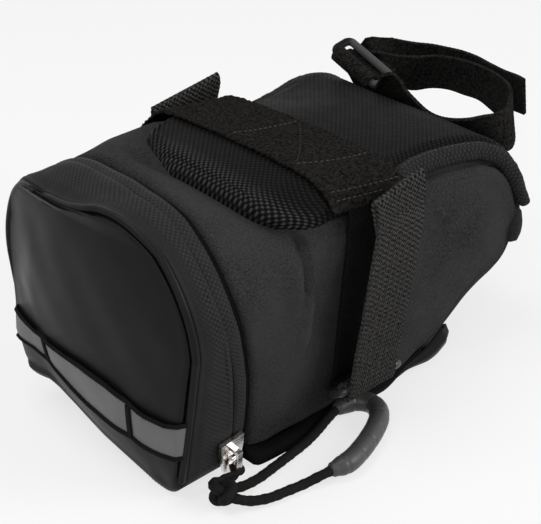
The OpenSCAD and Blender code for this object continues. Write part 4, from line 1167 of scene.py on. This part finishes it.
tail_profile = np.concatenate([
    np.array([(55.5, 77.2), (55.65, 81), (55.6, 84.8), (55.2, 85.8), (54.6, 85.7), (54.3, 84.8),
              (54.5, 80), (54.6, 74), (54.65, 62), (54.6, 49.9), (53.9, 40), (53.1, 31), (52.6, 23)]),
    arc(OUTER_BAR, 2, -318, 22)])
SIDES = ((-1, "right", hang_right), (1, "left", hang_left))
for side, hand, hang in SIDES:
    strap = strap_of(hand + "_side_strap", side, side_profile(), painted_shade_webbing, 240, web_relief)
    settle(strap, "bag", "webbing", hand + "_side_strap")
    tail = strap_of(hand + "_strap_tail", side, tail_profile, webbing, 260, web_relief, hang)
    settle(tail, hand + "_tail", "webbing", hand + "_strap_tail")

# Seat-post strap: sewn to the nose, looped, folded back at the ring and laid outside itself

PHOTO_WIDTH, PHOTO_HEIGHT, FOCAL_PIXELS = 541, 524, 1276.2
RING_HALF = 8.8
FRONT_BAR, REAR_BAR = np.array([64.419, 28.597, 82.943]), np.array([56.841, 29.403, 80.863])
BAR_WAY = np.array([0, 0.932568, 0.360994])
BAR_UP = np.array([0, -0.360994, 0.932568])


def seen(across, down, depth, half_across, half_down, half):
    """Place and half width vector, to 0.1 mm, from a pixel, its depth, and half widths in pixels and mm."""
    eye = np.array(CAMERA_PLACE) / MM
    aside, behind = unit(np.array(CAMERA_RIGHT)), unit(np.array(CAMERA_BACK))
    over = np.cross(behind, aside)
    shift_x, shift_y = across - PHOTO_WIDTH / 2, down - PHOTO_HEIGHT / 2
    place = eye + depth * (-behind + aside * shift_x / FOCAL_PIXELS - over * shift_y / FOCAL_PIXELS)
    shown = (aside * half_across - over * half_down) * depth / FOCAL_PIXELS
    hidden = np.sqrt(max(0, half * half - shown @ shown))
    return np.round(np.concatenate([place, shown + hidden * behind]), 1)


def at_ring(forward, rise):
    """A row of the strap at the ring, shifted forward and up from its front bar."""
    return np.round(np.concatenate([FRONT_BAR + (forward, 0, 0) + rise * BAR_UP, RING_HALF * BAR_WAY]), 1)


# Rows read off the photograph
FOOT_SEEN = [(377, 84.5, 461, 3, -6, 7.5), (385, 83, 460, 5, -7, 7.5), (393.5, 89, 459.5, 5, -6, 7.5),
             (401, 97.5, 459, 3, -5, 7.5), (411, 107.5, 457.5, 2, -4.5, 7.6)]
RISE_SEEN = [(416, 73, 488, -1, -14, 8.2), (401, 72, 486, -4, -14, 8.4), (386, 67, 480, -12, -13, 8.8)]
RETURN_SEEN = [(380, 55, 478, -15.5, -14.5, 8.8), (388, 54.5, 484.5, -11, -15, 8.6),
               (396, 56, 490, -6, -15.5, 8.4)]
TAIL_SEEN = [(396, 56, 490, -6, -15.5, 8.4), (407, 59, 492.5, -2, -15.5, 8.2),
             (416, 60.5, 493, -1, -15.5, 8), (430, 62, 493, 0, -15.5, 8), (444, 65, 491.5, 0, -15.5, 8),
             (459, 68.5, 488.5, 0, -15.5, 8), (473, 73.5, 485, 0, -15.5, 8), (487, 81, 479, 0, -15.5, 8)]
RING_FOLD = [(3, -3.9), (0, -4.4), (-2.2, -4.2), (-3.4, -3.3), (-3.3, -2.3), (-2.1, -2.1), (0, -2.9),
             (2.6, -2.4)]
# Rows moved to fit the loop in the photograph: place and half width vector
LOOP_PLACED = [
    (57.8, -6.0, 70.5, -3.5, -4.1, 5.0), (57.5, -15.0, 70.6, -3.6, -3.9, 5.6),
    (59.7, -22.1, 71.0, -3.0, -3.2, 6.5), (62.7, -26.3, 71.2, -2.3, -1.9, 7.2),
    (66.5, -29.4, 70.8, -1.6, -0.2, 7.6), (72.1, -30.1, 70.7, -0.9, 1.1, 7.7),
    (78.1, -27.3, 72.5, 0.0, 1.6, 6.9), (84.6, -19.8, 73.6, -1.0, -1.1, 7.6),
    (89.4, -9.8, 74.3, -1.0, -1.6, 7.3), (92.2, -1.5, 74.3, -1.6, -1.7, 7.2),
    (92.8, 5.6, 74.1, -1.2, -1.3, 7.2), (92.2, 12.4, 74.1, -1.5, -1.6, 7.1),
    (90.4, 19.7, 73.3, -1.4, -1.5, 7.2)]
TAIL_PLACED = [(96.0, -9.2, 73.4, -1.7, -1.2, 7.7), (93.2, -17.3, 74.6, -2.0, -1.1, 7.7),
               (90.2, -23.2, 75.7, -2.4, -0.7, 7.6)]
POST_STRAP = np.array([*(seen(*row) for row in FOOT_SEEN), *LOOP_PLACED, *(seen(*row) for row in RISE_SEEN),
                       *(at_ring(*row) for row in RING_FOLD), *(seen(*row) for row in RETURN_SEEN)])
POST_TAIL = np.array([*(seen(*row) for row in TAIL_SEEN), *TAIL_PLACED])


def strap_along(name, line, finish, count, relief=None):
    """A strap through rows of places and half-width vectors."""
    both = spline(line, count)
    return ribbon(name, both[:, :3], both[:, 3:], finish, WEB, 37, 0.3, relief)


post_strap = strap_along("post_strap", POST_STRAP, hook, 340, web_relief)
settle(post_strap, "bag", "webbing", "post_strap")
tail = strap_along("post_strap_tail", POST_TAIL, hook, 170, web_relief)
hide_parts("post_strap_tail")
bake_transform(tail)
a = np.radians(np.linspace(-80, -330, 16))[:, None]
bend = REAR_BAR + SLEEVE * (np.cos(a) * np.array([1.0, 0, 0]) + np.sin(a) * BAR_UP)
foot = np.array([(62.5, 25.0, 71.5, 0, 9, 0), (60.2, 26.6, 75.0, 0, 8.8, 1.6)])
post_tab = strap_along("post_tab", np.concatenate([
    foot, np.concatenate([bend, np.tile(9.4 * BAR_WAY, (16, 1))], 1)]), hook, 140)
settle(post_tab, "bag", "webbing", "post_tab")

# Stitching

rows = []
for first, last in ((SIDE_LOW + 0.6, 13.5), (LOOP - 13.5, LOOP - SIDE_LOW - 0.6)):
    line, n = bag_skin(np.array([ZIP - 2.2]), even_j(first, last, 1.0, 17.0), 0.12)
    rows.append((line[0], n[0]))
seam_stitching = stitches("zip_stitching", rows, edging, 1.9, 1.2, 0.2)
settle(seam_stitching, "lid", "webbing")
t = tangents(piping_line)
up = np.array([0, 0, 1.0]) + 0 * t
outward = unit(up - t * np.sum(up * t, axis=1, keepdims=True))
piping_row = piping_line + outward * piping_size[:, None] * 0.96, outward
piping_stitching = stitches("piping_stitching", [piping_row], pale_thread, 2.6, 1.9, 0.24)
settle(piping_stitching, "bag", "webbing")
rows = []
# Rows straight along the bag, then the cross of the box
seams = [((57.0, k), (85.0, k)) for k in (14.4, 15.1, 18.3, 21.05, LOOP - 15.1, LOOP - 14.4)]
for (d0, j0), (d1, j1) in seams + [((57.5, 18.4), (84.5, 20.9)), ((84.5, 18.4), (57.5, 20.9))]:
    d, j = np.linspace(d0, d1, 30), np.linspace(j0, j1, 30)
    n = bag_normal(d, j)
    rows.append((bag_point(d, j) + n * (4.65 - band_drop(j))[:, None], n))
band_stitching = stitches("band_stitching", rows[:len(seams)], pale_thread, 2.2, 1.6, 0.22)
box_stitching = stitches("band_box_stitching", rows[len(seams):], thread, 2.2, 1.6, 0.22)
settle(box_stitching, "bag", "webbing")
settle(band_stitching, "bag", "webbing")
HEM_OUT, HEM_HEIGHTS = 56.2, (78.6, 83.4)
for side, hand, hang in SIDES:
    rows = []
    for height in HEM_HEIGHTS:
        middle, across = hang(np.array([[STRAP_X, side * HEM_OUT, height]]),
                              np.array([[STRAP_HALF, 0.0, 0.0]]))
        line = middle + np.linspace(-0.88, 0.88, 12)[:, None] * across
        rows.append((line, np.tile([0.0, side, 0.0], (12, 1))))
    piece = stitches(hand + "_hem_stitching", rows, thread, 2.0, 1.5, 0.2)
    settle(piece, hand + "_tail", "webbing")

# Rigid parts keep their solids and get their finishes


def dress(node, finish):
    """Gives a solid its finish."""
    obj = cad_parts[node]
    obj.data.materials.clear()
    obj.data.materials.append(finish.material)


for node in ("right_ring", "left_ring"):
    dress(node, moulded)
dress("post_ring", post_plastic)
for node in ("zip_slider", "pull_loop"):
    dress(node, nickel)

# Floor, background and soft studio light


def light_path(nodes, links):
    """A factor that is 1 for what the camera, gloss and clear pieces see."""
    path = nodes.new("ShaderNodeLightPath")
    best = path.outputs["Is Camera Ray"]
    for key in ("Is Glossy Ray", "Is Transmission Ray"):
        join = nodes.new("ShaderNodeMath")
        join.operation = "MAXIMUM"
        links.new(best, join.inputs[0])
        links.new(path.outputs[key], join.inputs[1])
        best = join.outputs[0]
    return best


FLOOR_SHARE = 0.7
bm = bmesh.new()
bmesh.ops.create_grid(bm, x_segments=1, y_segments=1, size=4.0)
bmesh.ops.translate(bm, verts=bm.verts[:], vec=(0, 0, -0.0004))
mesh = bpy.data.meshes.new("floor")
bm.to_mesh(mesh)
bm.free()
floor = bpy.data.objects.new("floor", mesh)
scene.collection.objects.link(floor)
paper = bpy.data.materials.new("pale floor")
paper.use_nodes = True
nodes, links = paper.node_tree.nodes, paper.node_tree.links
nodes.clear()
matt = nodes.new("ShaderNodeBsdfDiffuse")
matt.inputs["Color"].default_value = (0.86, 0.86, 0.86, 1)
glow = nodes.new("ShaderNodeEmission")
mix = nodes.new("ShaderNodeMixShader")
scale = nodes.new("ShaderNodeMath")
scale.operation = "MULTIPLY"
scale.inputs[1].default_value = FLOOR_SHARE
links.new(light_path(nodes, links), scale.inputs[0])
links.new(scale.outputs[0], mix.inputs["Fac"])
links.new(matt.outputs[0], mix.inputs[1])
links.new(glow.outputs[0], mix.inputs[2])
links.new(mix.outputs[0], nodes.new("ShaderNodeOutputMaterial").inputs["Surface"])
mesh.materials.append(paper)

WORLD_LIGHT = 0.3
world = bpy.data.worlds.new("studio")
scene.world = world
world.use_nodes = True
nodes, links = world.node_tree.nodes, world.node_tree.links
shade = nodes["Background"]
shade.inputs["Color"].default_value = (1, 1, 1, 1)
level = nodes.new("ShaderNodeMapRange")
level.inputs["To Min"].default_value = WORLD_LIGHT
level.inputs["To Max"].default_value = 1.0
links.new(light_path(nodes, links), level.inputs["Value"])
links.new(level.outputs["Result"], shade.inputs["Strength"])

for name, place, power, size in (("top softbox", (-0.35, 0.2, 1.1), 6.0, 0.7),
                                 ("right softbox", (0.7, -0.95, 0.65), 10.0, 0.7),
                                 ("rear softbox", (-0.95, -0.45, 0.6), 2.8, 0.6)):
    lamp = bpy.data.lights.new(name, "AREA")
    lamp.energy = power
    lamp.size = size
    obj = bpy.data.objects.new(name, lamp)
    obj.location = place
    obj.rotation_euler = (Vector((0, 0, 0.04)) - Vector(place)).to_track_quat("-Z", "Y").to_euler()
    scene.collection.objects.link(obj)
